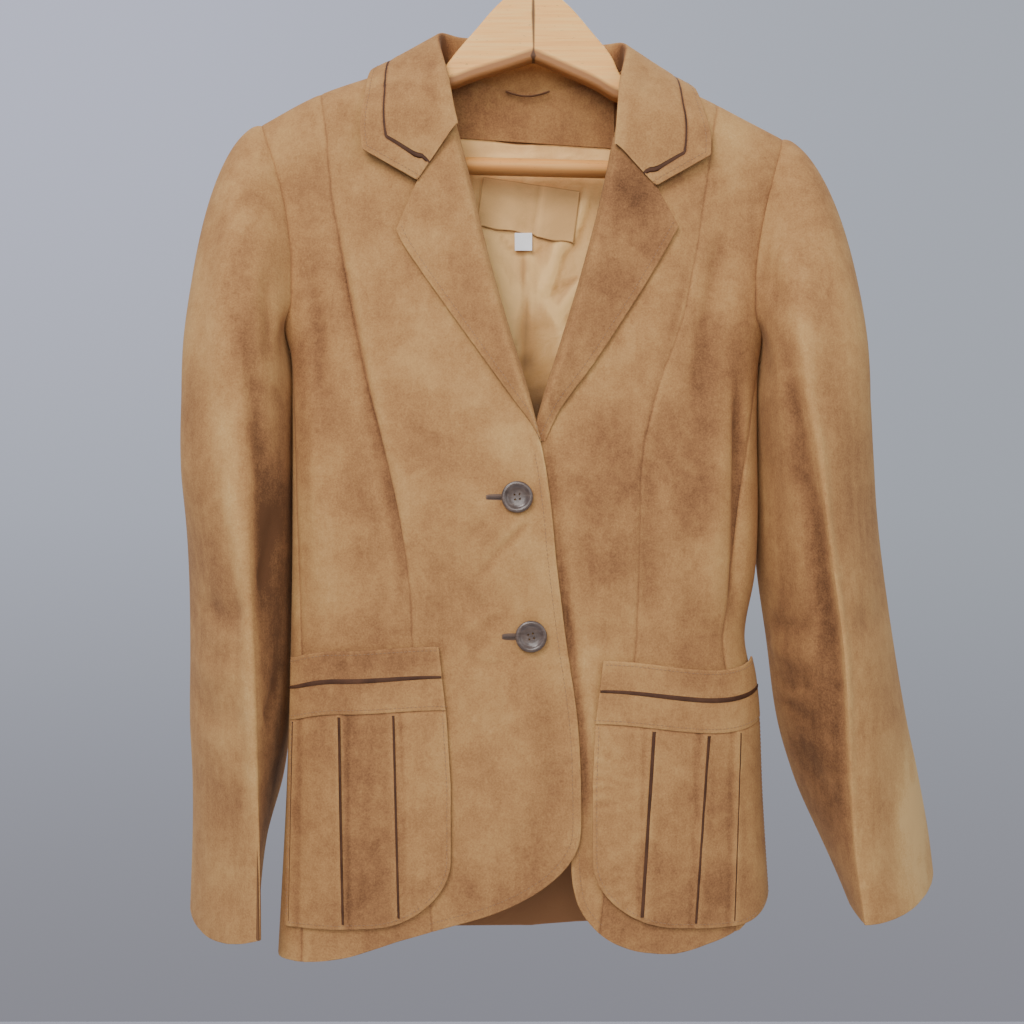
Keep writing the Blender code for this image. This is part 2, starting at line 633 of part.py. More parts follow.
def normals(grid):
    """Unit normals of a grid of points, pointing to the side that shows on the collar."""
    found = []
    for r, row in enumerate(grid):
        line = []
        for c in range(len(row)):
            down = grid[min(r + 1, len(grid) - 1)][c] - grid[max(r - 1, 0)][c]
            across = row[min(c + 1, len(row) - 1)] - row[max(c - 1, 0)]
            line.append(down.cross(across).normalized())
        found.append(line)
    return found


def sunk(grid, distance):
    return [[p - n * distance for p, n in zip(row, line)] for row, line in zip(grid, normals(grid))]


def collar(suede, leather):
    def main(s, t):
        start = TRIM_START.at(t, "s") if t > GORGE_TRIM else 0.0
        return start + (1 - start) * s, t

    columns = (BASE, 0.10, ROLL_IN, ROLL, ROLL_OUT, 0.45, GORGE_TRIM, 0.60, MID, TRIM - TRIM_GAP)
    grid = collarGrid(columns, main)
    wall("collar", grid, sunk(grid, FACING), suede)
    ends = ((0.0, GORGE_TRIM, 0.0, MID), (0.040, 0.60, 0.0, 0.79), (0.073, MID, 0.0, 0.90),
            (0.085, TRIM, 0.008, 0.975), (0.085, TRIM, 0.035, 1.0))
    border, line = [], []
    for side in (LEFT, RIGHT):
        rows = [(collarPoint(side, s0 - (0.001 if s0 else 0.0), t0 + TRIM_GAP),
                 collarPoint(side, s1, t1)) for s0, t0, s1, t1 in ends[:4]]
        rows += [(collarPoint(side, mix(0.085, 1.0, s), TRIM + TRIM_GAP),
                  collarPoint(side, mix(0.045, 1.0, s), 1.0)) for s in STATIONS[1:]]
        trim = [collarPoint(side, s0, t0) for s0, t0, s1, t1 in ends[:4]]
        trim += [collarPoint(side, mix(0.085, 1.0, s), TRIM) for s in STATIONS[1:]]
        border += rows if side == LEFT else list(reversed(rows[:-1]))
        line += trim if side == LEFT else list(reversed(trim[:-1]))
    wall("collar_border", border, sunk(border, FACING), suede)
    faces = [row[0] for row in normals(border)]
    faces[0], faces[-1] = faces[1], faces[-2]
    ribbon("collar_piping", line, faces, 0.0024, 0.0005, 0.0013, leather)


def ribbon(name, path, faces, width, low, high, finish):
    """A flat strip along a path, between two heights over it."""
    outer, inner = [], []
    for i, (point, up) in enumerate(zip(path, faces)):
        along = path[min(i + 1, len(path) - 1)] - path[max(i - 1, 0)]
        aside = along.cross(up).normalized() * (width / 2)
        outer.append([point - aside + up * high, point + aside + up * high])
        inner.append([point - aside + up * low, point + aside + up * low])
    return wall(name, outer, inner, finish)


# ---------------------------------------------------------------- pockets
POCKET = {LEFT: {"inner": ((-0.597, 0.0690), (-0.650, 0.0632), (-0.700, 0.0600), (-0.840, 0.0600)),
                 "topInner": -0.5970, "topMid": -0.6010, "topOuter": -0.6070, "outerTurn": 0.86},
          RIGHT: {"inner": ((-0.607, 0.0507), (-0.653, 0.0450), (-0.700, 0.0428), (-0.840, 0.0428)),
                  "topInner": -0.6075, "topMid": -0.6160, "topOuter": -0.6090, "outerTurn": 0.86}}
BAND = 0.0470           # height of the band
BAND_TRIM = 0.0225      # how far its trim lies below the top edge
TRIM_WIDTH = 0.0034
TRIM_THICK = 0.0008
POCKET_MIDDLE = -0.7300
POCKET_FOOT = -0.7550   # where the rounded corner starts
POCKET_CORNER = (0.0600, 0.0470)
POCKET_SLOPE = 0.06
POCKET_CLEAR = 0.0016   # the pocket stands this far off the panels' corners
POCKET_WALL = 0.0018
POCKET_STEPS = 12       # columns across a pocket
EDGE_STEP = 6           # the first one stands this many 120ths of the width from the edge
# down each pocket: distance from the middle at the top and at the bottom, and width
TRIMS = {LEFT: ((0.1440, 0.1410, 0.0034), (0.1030, 0.0997, 0.0026), (0.1835, 0.1865, 0.0016)),
         RIGHT: ((0.0885, 0.0788, 0.0034), (0.1290, 0.1185, 0.0028), (0.1600, 0.1530, 0.0016))}


def pocketTop(side, u):
    cut = POCKET[side]
    if u < 0.5:
        return mix(cut["topInner"], cut["topMid"], ease(u, 0.0, 0.5))
    return mix(cut["topMid"], cut["topOuter"], ease(u, 0.5, 1.0))


def pocketInner(side, z):
    rows = POCKET[side]["inner"]
    for (z0, x0), (z1, x1) in zip(rows, rows[1:]):
        if z >= z1:
            return side * mix(x0, x1, min(max((z0 - z) / (z0 - z1), 0.0), 1.0))
    return side * rows[-1][1]


def pocketTurn(side, u, z):
    return mix(abs(turnOf(pocketInner(side, z), z)), POCKET[side]["outerTurn"], u)


def pocketBottom(side, u):
    """Height of the lower edge: a rounded corner, then nearly level to the side."""
    across, down = POCKET_CORNER
    place = torsoPoint(side * pocketTurn(side, u, POCKET_FOOT), POCKET_FOOT)
    reach = abs(place.x - pocketInner(side, POCKET_FOOT))
    share = min(reach / across, 1.0)
    return POCKET_FOOT - down * sqrt(1 - (1 - share) ** 2) - POCKET_SLOPE * min(reach, 0.09)


def pocketPoint(side, u, z, out):
    return torsoPoint(side * pocketTurn(side, u, z), z, out + POCKET_CLEAR)


def evenColumns(side, count):
    """Shares of the pocket's width that are evenly spaced on the cloth, closer at the front corner."""
    fine = spread(121)
    points = [pocketPoint(side, u, POCKET_FOOT, 0.0) for u in fine]
    lengths = [0.0]
    for a, b in zip(points, points[1:]):
        lengths.append(lengths[-1] + (b - a).length)
    columns = [0.0, fine[EDGE_STEP]]
    start = lengths[EDGE_STEP]
    for i in range(1, count):
        goal = mix(start, lengths[-1], i / (count - 1))
        columns.append(fine[min(range(len(fine)), key=lambda k: abs(lengths[k] - goal))])
    return columns


def pocket(side, suede, leather):
    def band(v, u, out):
        return pocketPoint(side, u, pocketTop(side, u) - BAND * v, out)

    def bag(v, u, out):
        z = mix(pocketTop(side, u) - BAND - 2 * SEAM, pocketBottom(side, u), v)
        return pocketPoint(side, u, z, out)

    columns = evenColumns(side, POCKET_STEPS)
    layered("pocket_band" + tag(side), band, (0.0, BAND_TRIM / BAND, 1.0), columns, 0.0, POCKET_WALL, suede)
    rows = (0.0, 0.25, 0.50, 0.76, 1.0)
    layered("pocket" + tag(side), bag, rows, columns, 0.0, POCKET_WALL, suede)

    above = POCKET_WALL + REST
    stops = [0.003] + columns[1:-1] + [0.997]
    path = [pocketPoint(side, u, pocketTop(side, u) - BAND_TRIM, above) for u in stops]
    ribbon("pocket_trim%s_0" % tag(side), path, facesAlong(path), TRIM_WIDTH, 0.0, TRIM_THICK, leather)
    for index, (top, bottom, width) in enumerate(TRIMS[side]):
        path = []
        for v in spread(7):
            x = side * mix(top, bottom, v)
            turn = turnOf(x, POCKET_MIDDLE)
            first = pocketTurn(side, 0.0, POCKET_MIDDLE)
            u = (abs(turn) - first) / (POCKET[side]["outerTurn"] - first)
            start = pocketTop(side, u) - BAND - 0.003
            z = mix(start, pocketBottom(side, u) + 0.004, v)
            path.append(torsoPoint(turnOf(x, z), z, POCKET_CLEAR + above))
        ribbon("pocket_trim%s_%d" % (tag(side), index + 1), path, facesAlong(path),
               width, 0.0, TRIM_THICK, leather)


def facesAlong(path):
    """Outward direction of the body at each point of a path on it."""
    found = []
    for point in path:
        turn = turnOf(point.x, point.z)
        step = torsoPoint(turn + 0.01, point.z) - torsoPoint(turn - 0.01, point.z)
        found.append(Vector((step.y, -step.x, 0.0)).normalized())
    return found


# ---------------------------------------------------------------- buttons
BUTTONHOLES = {"upper": (-0.0350, -0.0227), "lower": (-0.0232, -0.0128)}
BUTTONHOLE_H = 0.0052
BUTTON_SEGMENTS = 20


def button(key, finish):
    """Turned disc with a raised rim, a dished face and four holes."""
    x, z = BUTTONS[key]
    back = frontPoint(x, z).y - REST
    profile = ((0.0, 0.0), (0.0040, 0.0), (0.0052, 0.0010), (0.0104, 0.0012), (BUTTON_R, 0.0020),
               (BUTTON_R, 0.0030), (0.0110, BUTTON_H), (0.0096, BUTTON_H), (0.0080, 0.0029),
               (0.0, 0.0027))
    shell = bmesh.new()
    rings = []
    for radius, height in profile:
        if radius == 0.0:
            rings.append([shell.verts.new((x, back - height, z))])
            continue
        rings.append([shell.verts.new((x + radius * cos(2 * pi * i / BUTTON_SEGMENTS), back - height,
                                       z + radius * sin(2 * pi * i / BUTTON_SEGMENTS)))
                      for i in range(BUTTON_SEGMENTS)])
    for low, high in zip(rings, rings[1:]):
        for i in range(BUTTON_SEGMENTS):
            j = (i + 1) % BUTTON_SEGMENTS
            corners = [low[i % len(low)], low[j % len(low)], high[j % len(high)], high[i % len(high)]]
            shell.faces.new(list(dict.fromkeys(corners)))
    disc = finishMesh("button_" + key, shell, finish)
    for index, (across, up) in enumerate(((1, 1), (1, -1), (-1, -1), (-1, 1))):
        bpy.ops.mesh.primitive_cylinder_add(vertices=8, radius=HOLE_R, depth=0.02,
                                            location=(x + across * HOLE_AT, back, z + up * HOLE_AT),
                                            rotation=(pi / 2, 0.0, 0.0))
        drill = bpy.context.object
        drill.name = "drill_%s_%d" % (key, index)
        drill.hide_render = True
        drill.display_type = "WIRE"
        cut = disc.modifiers.new("hole%d" % index, "BOOLEAN")
        cut.operation = "DIFFERENCE"
        cut.solver = "MANIFOLD"
        cut.object = drill


def buttonhole(key, finish):
    start, end = BUTTONHOLES[key]
    z = BUTTONS[key][1] - 0.0005
    path = [frontPoint(mix(start, end, u), z) for u in spread(3)]
    ribbon("buttonhole_" + key, path, facesAlong(path), BUTTONHOLE_H, REST, REST + 0.0008, finish)


# ---------------------------------------------------------------- inside the neck
FACING_ROW = 0.057      # lower edge of the neck facing, as a share of the back's height
LINING_ROW = 0.965
LINING_OUT = -0.0028    # the lining hangs a little clear of the back
LABEL = {"x": (-0.0430, 0.0385), "z": (-0.2330, -0.2740), "turned": -0.050}
SIZE_TAG = {"x": (-0.0142, 0.0002), "z": (-0.2715, -0.2860)}
LOOP = {"x": (-0.0216, 0.0146), "z": -0.1590, "sag": 0.0045, "width": 0.0028}


def backStrip(name, rows, columns, low, high, finish):
    """A layer under both halves of the back, on the same rows and columns."""
    ends = [(LEFT, u) for u in reversed(columns)] + [(RIGHT, u) for u in columns[1:]]
    layered(name, lambda v, end, out: backFacet(end[0], v, end[1], out), rows, ends, low, high, finish)


def insideNeck(suede, satin, label, white, leather):
    under = -SUEDE - REST
    backStrip("neck_facing", (0.0, ROWS[1], ROWS[2], FACING_ROW), BACK_COLUMNS[:3],
              under - FACING, under, suede)
    rows = [FACING_ROW + 0.0008] + [v for v in ROWS if FACING_ROW < v < LINING_ROW] + [LINING_ROW]
    backStrip("lining_back", rows, BACK_COLUMNS[:-1], LINING_OUT - SATIN, LINING_OUT, satin)

    def patch(cut, out):
        (left, right), (top, low) = cut["x"], cut["z"]
        lean = cut.get("turned", 0.0)
        return lambda v, u, depth: torsoPoint(
            backTurn(mix(left, right, u), mix(top, low, v)), mix(top, low, v), depth + out
        ) + Vector((0.0, 0.0, lean * mix(left, right, u)))

    level = LINING_OUT - SATIN - 0.0007
    layered("label", patch(LABEL, level), (0.0, 0.5, 1.0), spread(5), -0.0007, 0.0, label)
    layered("size_tag", patch(SIZE_TAG, level - 0.0011), (0.0, 1.0), spread(3), -0.0005, 0.0, white)

    path = []
    for u in spread(9):
        x = mix(*LOOP["x"], u)
        z = LOOP["z"] - LOOP["sag"] * sin(u * pi)
        path.append(torsoPoint(backTurn(x, z), z, -SUEDE - REST - FACING - 0.0008 - 0.0012 * sin(u * pi)))
    ribbon("hang_loop", path, [Vector((0.0, -1.0, 0.0))] * len(path), LOOP["width"], 0.0, 0.0012,
           leather)


# ---------------------------------------------------------------- hanger
ARM = Table("x leftTop rightTop leftLow rightLow",
            (0.0010, -0.0790, -0.0790, -0.1395, -0.1395),
            (0.0250, -0.0925, -0.0935, -0.1475, -0.1500),
            (0.0490, -0.1190, -0.1205, -0.1550, -0.1610),
            (0.0620, -0.1340, -0.1370, -0.1600, -0.1690),
            (0.0670, -0.1405, -0.1480, -0.1610, -0.1710),
            (0.0730, -0.1470, -0.1560, -0.1635, -0.1740),
            (0.0900, -0.1503, -0.1585, -0.1700, -0.1810),
            (0.1200, -0.1597, -0.1715, -0.1820, -0.1930),
            (0.1580, -0.1716, -0.1895, -0.1970, -0.2070))
HEEL = {LEFT: -0.2360, RIGHT: -0.2440}  # foot of the arms' ends, where the rail goes in
HEEL_AT, HEEL_END = 0.1580, 0.1900
CHAMFER = 0.0030


def loft(name, rings, finish):
    """A solid through closed rings of points, with flat ends."""
    shell = bmesh.new()
    loops = [[shell.verts.new(p) for p in ring] for ring in rings]
    count = len(rings[0])
    for a, b in zip(loops, loops[1:]):
        for i in range(count):
            j = (i + 1) % count
            shell.faces.new((a[i], a[j], b[j], b[i]))
    shell.faces.new(loops[0])
    shell.faces.new(loops[-1][::-1])
    return finishMesh(name, shell, finish, sharp=0.6)


def armRing(x, top, low):
    half, cut = WOOD / 2, CHAMFER
    corners = ((half - cut, top), (half, top - cut), (half, low + cut), (half - cut, low))
    ring = [Vector((x, y, z)) for y, z in corners]
    return ring + [Vector((x, -y, z)) for y, z in reversed(corners)]


def hangerArm(side, finish):
    key = nameOf(side)
    rings = []
    for row in ARM.rows:
        x = row[0] if row[0] > 0.002 else 0.001 * side + 2 * SEAM
        rings.append(armRing(side * x, ARM.at(row[0], key + "Top"), ARM.at(row[0], key + "Low")))
    top = ARM.at(HEEL_AT, key + "Top")
    for x, drop, foot in ((HEEL_AT + 0.0006, 0.0003, 0.0), (0.1740, 0.0075, 0.0), (0.1850, 0.0150, 0.0),
                          (HEEL_END, 0.0240, 0.0080)):
        rings.append(armRing(side * x, top - drop, HEEL[side] + foot))
    loft("hanger_arm" + tag(side), rings, finish)


def hangerRail(finish):
    ends = [x * (HEEL_AT - 0.0006) for x in (-1.0, -0.5, 0.0, 0.5, 1.0)]
    rings = [[Vector((x, RAIL_R * sin(2 * pi * i / 14), RAIL_Z + RAIL_TILT * x
                      + RAIL_R * cos(2 * pi * i / 14))) for i in range(14)] for x in ends]
    loft("hanger_rail", rings, finish)


def hook(finish):
    """Steel wire: a stem out of the wood, then a bend round the origin."""
    centre = -HOOK_R + WIRE_R
    curve = bpy.data.curves.new("hook", "CURVE")
    curve.dimensions = "3D"
    points = [Vector((0.001, 0.0, z)) for z in (ARM.at(0.001, "leftTop") + REST, -0.068, -0.058)]
    points += [Vector((0.0025, 0.0, -0.0505)), Vector((0.0075, 0.0, -0.0445))]
    for i in range(19):
        angle = -0.30 * pi + i / 18 * 1.42 * pi
        points.append(Vector((HOOK_R * cos(angle), 0.0, centre + HOOK_R * sin(angle))))
    line = curve.splines.new("POLY")
    line.points.add(len(points) - 1)
    for spot, point in zip(line.points, points):
        spot.co = (*point, 1.0)
    curve.bevel_depth = WIRE_R
    curve.bevel_resolution = 2
    curve.use_fill_caps = True
    curve.materials.append(finish)
    bpy.context.scene.collection.objects.link(bpy.data.objects.new("hook", curve))


# ---------------------------------------------------------------- build
def main():
    clearScene()
    suede = material("suede", (0.47, 0.27, 0.12), 0.9)
    leather = material("leather", (0.10, 0.04, 0.02), 0.6)
    satin = material("satin", (0.55, 0.37, 0.20), 0.4)
    labelSatin = material("label", (0.50, 0.33, 0.16), 0.4)
    white = material("tape", (0.80, 0.80, 0.78), 0.7)
    horn = material("button", (0.16, 0.12, 0.10), 0.35)
    wood = material("wood", (0.65, 0.42, 0.24), 0.5)
    steel = material("steel", (0.62, 0.62, 0.63), 0.3, 1.0)
    for side in (LEFT, RIGHT):
        centreFront(side, suede)
        sideFront(side, suede)
        backPanel(side, suede)
        sleeve(side, suede)
        lapel(side, suede)
        pocket(side, suede, leather)
        hangerArm(side, wood)
    collar(suede, leather)
    insideNeck(suede, satin, labelSatin, white, leather)
    for key in BUTTONS:
        buttonhole(key, leather)
        button(key, horn)
    hangerRail(wood)
    hook(steel)


main()
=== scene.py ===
import math
from functools import partial

import bmesh
import bpy
import numpy as np
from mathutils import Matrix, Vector


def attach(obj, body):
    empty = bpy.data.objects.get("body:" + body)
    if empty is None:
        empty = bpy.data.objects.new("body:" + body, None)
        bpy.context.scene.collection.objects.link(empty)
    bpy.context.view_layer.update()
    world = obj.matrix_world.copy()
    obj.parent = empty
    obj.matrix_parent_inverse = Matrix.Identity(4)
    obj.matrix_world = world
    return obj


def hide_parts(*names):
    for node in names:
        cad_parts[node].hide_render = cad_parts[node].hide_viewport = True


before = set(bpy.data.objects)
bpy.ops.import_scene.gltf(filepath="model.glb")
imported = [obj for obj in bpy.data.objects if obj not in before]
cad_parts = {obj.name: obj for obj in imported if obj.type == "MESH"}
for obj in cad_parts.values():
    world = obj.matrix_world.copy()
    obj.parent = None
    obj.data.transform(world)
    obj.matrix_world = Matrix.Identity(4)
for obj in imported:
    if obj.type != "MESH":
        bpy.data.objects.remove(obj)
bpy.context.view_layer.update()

left, right = -1, 1
sides = {"_l": left, "_r": right}
print("frame loaded")


# small sums, on single values and on arrays alike
def mix(a, b, part):
    return a + (b - a) * part


def ease(value, low, high):
    part = np.clip((value - low) / (high - low), 0.0, 1.0)
    return part * part * (3 - 2 * part)


def bell(value, width):
    return np.exp(-(value / width) ** 2)


def vector(x, y, z):
    return np.stack(np.broadcast_arrays(x, y, z), -1).astype(float)


def unit(v):
    return v / np.maximum(np.linalg.norm(v, axis=-1, keepdims=True), 1e-12)


def sideName(side):
    return "left" if side == left else "right"


class Profile:
    # rows under named columns, in millimetres where unit is 1000; the first column is the key, and a
    # smooth curve runs between rows
    def __init__(self, names, *rows, unit=1000):
        self.names = names.split()
        self.rows = np.array(sorted(rows), float) / unit
        keys = self.rows[:, :1]
        before = np.maximum(np.arange(len(keys)) - 1, 0)
        after = np.minimum(np.arange(len(keys)) + 1, len(keys) - 1)
        self.slopes = (self.rows[after] - self.rows[before]) / (keys[after] - keys[before])

    def at(self, key, name):
        column = self.names.index(name)
        keys = self.rows[:, 0]
        key = np.clip(key, keys[0], keys[-1])
        i = np.clip(np.searchsorted(keys, key, "right") - 1, 0, len(keys) - 2)
        span = keys[i + 1] - keys[i]
        part = (key - keys[i]) / span
        a, b = self.rows[i, column], self.rows[i + 1, column]
        start, end = self.slopes[i, column] * span, self.slopes[i + 1, column] * span
        return (a + start * part * (1 - part) ** 2 + (b - a) * part * part * (3 - 2 * part)
                - end * part * part * (1 - part))

    def sideAt(self, key, side, suffix=""):
        return np.where(np.asarray(side) > 0, self.at(key, "right" + suffix), self.at(key, "left" + suffix))


# the cut of the body: half widths, heights of the sides, front and back
cloth = {"suede": 0.0020, "facing": 0.0016, "satin": 0.0008, "squareness": 3.0, "shoulderRound": 0.050,
         "seamGap": 0.00002, "seamSink": 0.0005, "seamWidth": 0.0018, "edgeRound": 0.0012}
body = Profile(
    "z left leftY right rightY front back", (-190, 240, 0, 226, 0, -26, 24), (-250, 226, -3, 212, 0, -34, 25),
    (-300, 214, -8, 200, -2, -41, 24), (-345, 199, -12, 187, -4, -48, 22),
    (-375, 188.5, -15, 178.5, -4, -53, 21), (-420, 186.2, -20, 176.2, -4, -59, 20),
    (-500, 185.2, -26, 176.5, -4, -66, 20), (-545, 185.2, -28, 174.2, -4, -66, 20),
    (-592, 185.8, -30, 166.2, -4, -66, 20), (-625, 186.5, -31, 171.5, -3, -67, 21),
    (-650, 187, -32, 174.2, -2, -68, 21), (-720, 189, -34, 177, 0, -71, 22), (-840, 195, -36, 185, 3, -73, 24))
ridge = Profile(
    "x z", (-215, -190.5), (-172.4, -168), (-130, -153), (-75, -136), (0, -134), (75, -143), (135.7, -169),
    (168, -185.5), (199, -201.5))
tip = {left: -0.2150, right: 0.1990}
neck = {"half": 0.0750, "back": -0.1580}
underarm = {left: -0.3720, right: -0.3780}
armhole = Profile(
    "z left right", (-190, 215, 201), (-210, 207, 196), (-234.5, 199, 188.5), (-268, 191, 180),
    (-298, 187.2, 174.5), (-327.4, 186.6, 172.2), (-348.8, 187.4, 172.8), (-380, 188, 176.5))
princess = Profile(
    "z left right", (-167, 167, 148), (-200, 161, 141), (-250, 155.5, 133), (-300, 147.5, 124.5),
    (-350, 138.5, 113.5), (-400, 127.5, 95), (-450, 113.5, 82.5), (-500, 100.5, 80), (-550, 92.5, 78.5),
    (-600, 90, 76), (-700, 82.5, 61.5), (-840, 73, 45))
sideSeam = Profile(
    "z left right", (-0.378, 0.998, 0.998), (-0.43, 0.985, 0.95), (-0.49, 0.972, 0.902), (-0.6, 0.943, 0.865),
    (-0.7, 0.92, 0.85), (-0.84, 0.89, 0.83), unit=1)
frontEdge = Profile(
    "z left right", (-136, -75, 75), (-170, -69, 72.5), (-200, -61.2, 66.8), (-250, -48.7, 56.5),
    (-300, -37, 43.8), (-350, -23.2, 29.2), (-400, -8, 13.2), (-445.7, 5.6, -4), (-486, 12.5, -30),
    (-533, 17, -27), (-589, 24, -21), (-652, 33, -6), (-700, 35.2, 13), (-755, 35.2, 28.5), (-840, 35.2, 28.5))
armRow = 0.385  # how far down the side edge the armhole ends
seamHead, seamFoot = -0.167, -0.82  # heights of the two ends of the princess seam
justUnder = 1e-6  # keeps a top edge just below the ridge of the shoulder
frontCorner = {left: ((-0.050, -0.7555), (0.0852, 0.0455)), right: ((0.105, -0.755), (0.0765, 0.0710))}
cornerPower = {left: 2.3, right: 2.5}
cornerTilt = {left: 0.28, right: 0.0}
hem = Profile(
    "x z", (-195, -836), (-144, -829.8), (-99, -815.2), (-50, -801), (0, -787), (80, -826.8), (105, -826.2),
    (130, -820.5), (148, -815), (168, -807), (188, -799))
hemBack = -0.8320
hemLift = {left: 0.0, right: 0.0140}
hemBend = {left: 1.3, right: 0.75}
overlap = 0.0034

# folds: a path of (x, z) places, how wide and how high, all in millimetres; a last number sharpens
# one side
frontFolds = {
    "leftPrincess": ([(-156, -230), (-149, -290), (-140.5, -335), (-131.5, -380), (-123, -420), (-111, -470),
        (-101, -520), (-96, -590)], 4.5, -3, -0.2),
    "leftPrincessLight": ([(-108, -400), (-94, -470), (-82, -540), (-78, -600)], 12, 1.8),
    "leftChest": ([(-150, -230), (-135, -300), (-120, -360), (-106, -420)], 15, 1, 0.2),
    "leftUnderarm": ([(-176, -300), (-168, -340), (-163, -390), (-160, -440)], 7, -1.8, 0.3),
    "leftSide": ([(-168, -370), (-163, -440), (-160, -520), (-158, -590)], 10, 2.6),
    "leftSideDip": ([(-145, -420), (-141, -480), (-137, -540), (-133, -590)], 12, -1.8),
    "leftShoulder": ([(-120, -175), (-128, -210), (-138, -250)], 10, -1.6),
    "leftWaist": ([(-60, -470), (-35, -495), (-20, -520)], 10, 1.2),
    "leftWaistLow": ([(-80, -520), (-45, -560), (-15, -585)], 12, -1.2),
    "leftFront": ([(-20, -610), (-12, -680), (-22, -760)], 18, 1.6),
    "leftFrontDip": ([(18, -620), (16, -690), (10, -740)], 9, -1.2),
    "rightPrincess": ([(94, -420), (87, -480), (86, -540), (84, -600)], 8, -2, 0.3),
    "rightChest": ([(110, -230), (102, -290), (92, -350), (76, -410)], 16, 2.2),
    "rightArm": ([(150, -260), (140, -320), (128, -380), (118, -440)], 9, -2.8, 0.2),
    "rightSide": ([(146, -400), (140, -460), (136, -530), (136, -595)], 10, 2.6),
    "rightSideDip": ([(158, -380), (157, -450), (155, -530), (151, -600)], 5, -4.2),
    "upperCrease": ([(-3, -500), (-12, -513.5), (-28, -530), (-46, -552)], 2.8, -1.1),
    "leftRoll": ([(-4, -420), (3, -438), (7.8, -458), (10, -486), (12, -510)], 2.6, 0.9),
    "upperRidge": ([(-3, -496.5), (-14, -509), (-30, -523)], 3, 1.1),
    "upperCreaseTwo": ([(-22, -496), (-38, -506), (-56, -526)], 4, -0.9),
    "lowerCrease": ([(-12, -604), (-30, -612), (-50, -606)], 4, -0.9),
    "lowerRidge": ([(-20, -568), (-36, -574), (-56, -590)], 4, 0.9),
    "rightBreak": ([(20, -450), (45, -470), (66, -500)], 11, 1.4),
    "rightFront": ([(30, -560), (28, -620), (36, -700)], 13, -1.4),
    "rightFrontLight": ([(56, -500), (52, -560), (50, -590)], 12, 1.4)}
# painted shade and painted light that follow the folds: the same table, with how much lighter in place of how high
frontShades = {
    "leftPrincess": ([(-158, -240), (-150, -290), (-141.5, -335), (-132, -380), (-122.5, -425), (-110, -475),
        (-100, -530), (-95, -600)], 4, -0.15),
    "leftPrincessLit": ([(-146, -300), (-134, -350), (-121, -400), (-107, -450), (-94, -500), (-88, -580)], 5,
        0.07),
    "leftUnderarm": ([(-176, -270), (-166, -340), (-160, -420), (-160, -500)], 8, -0.05),
    "leftSideLit": ([(-146, -400), (-137, -480), (-130, -580)], 14, 0.08),
    "leftRollLit": ([(-6, -420), (2, -438), (6.8, -458), (9, -486), (11, -510)], 2.2, 0.1),
    "leftRollDark": ([(-12, -420), (-3, -440), (2, -460), (4, -490)], 1.8, -0.07),
    "leftEdgeLit": ([(0, -480), (12, -560), (24, -650), (26, -730)], 13, 0.11),
    "upperButton": ([(-14, -492), (-30, -510), (-48, -534)], 4, -0.08),
    "lowerButton": ([(-30, -590), (-44, -600), (-50, -622)], 6, -0.06),
    "rightPrincess": ([(129, -240), (120, -300), (108, -350), (90, -410), (78.5, -480), (77, -560), (74, -620)],
        3, -0.1),
    "rightPrincessLit": ([(134, -240), (125, -300), (113, -350), (94, -410), (81.5, -480), (80, -560),
        (77, -620)], 2.5, 0.1),
    "rightStrip": ([(158, -380), (157, -450), (155, -530), (150, -600)], 5, -0.24),
    "rightStripLit": ([(148, -430), (147, -500), (143, -590)], 7, 0.16),
    "rightArm": ([(168, -300), (160, -350), (150, -420)], 7, -0.12)}
# the shadow of the upper front on the lower one
underEdge = {
    "edge": ([(17, -490), (21, -540), (27, -589), (35.5, -652), (38.5, -700), (39, -750)], 3.4, -0.38)}
backFolds = {
    "leftBlade": ([(-110, -210), (-105, -300), (-90, -400)], 18, 2.2),
    "rightBlade": ([(105, -220), (98, -310), (85, -400)], 18, 2),
    "leftArm": ([(-165, -300), (-140, -350), (-120, -420)], 11, -2.6, 0.2),
    "rightArm": ([(155, -310), (132, -360), (114, -430)], 11, -2.6, -0.2),
    "leftWaist": ([(-145, -540), (-90, -560), (-40, -552)], 9, -1.6),
    "rightWaist": ([(40, -548), (88, -562), (140, -548)], 9, -1.8),
    "waistRoll": ([(-120, -582), (-20, -575), (110, -585)], 12, 1.4),
    "leftSkirt": ([(-60, -600), (-72, -700), (-80, -820)], 20, 3),
    "rightSkirt": ([(58, -600), (66, -700), (78, -820)], 20, 2.8),
    "middleSkirt": ([(4, -620), (0, -720), (-4, -825)], 13, -2.2)}


def smoothPath(path, count=28):
    path = np.array(path, float)
    curve = Profile(" ".join("abcd"[:path.shape[1] + 1]), *[(i, *p) for i, p in enumerate(path)], unit=1)
    keys = np.linspace(0, len(path) - 1, count)
    return np.stack([curve.at(keys, name) for name in curve.names[1:]], -1)


def nearPath(x, z, path):
    # signed distance to a path in the x-z plane, and the share of the path at the nearest place; the
    # path and the distance are in millimetres
    line = smoothPath(path)
    place = np.stack([np.ravel(x), np.ravel(z)], -1) * 1000
    best = np.full(len(place), 9000.0)
    signed, share = best.copy(), np.zeros(len(place))
    for i, (a, b) in enumerate(zip(line, line[1:])):
        step = b - a
        t = np.clip(((place - a) @ step) / (step @ step), 0, 1)
        gap = place - a - t[:, None] * step
        distance = np.hypot(gap[:, 0], gap[:, 1])
        closer = distance < best
        best = np.where(closer, distance, best)
        turned = np.sign(step[0] * gap[:, 1] - step[1] * gap[:, 0])
        signed = np.where(closer, distance * turned, signed)
        share = np.where(closer, (i + t) / (len(line) - 1), share)
    return signed.reshape(np.shape(x)), share.reshape(np.shape(x))


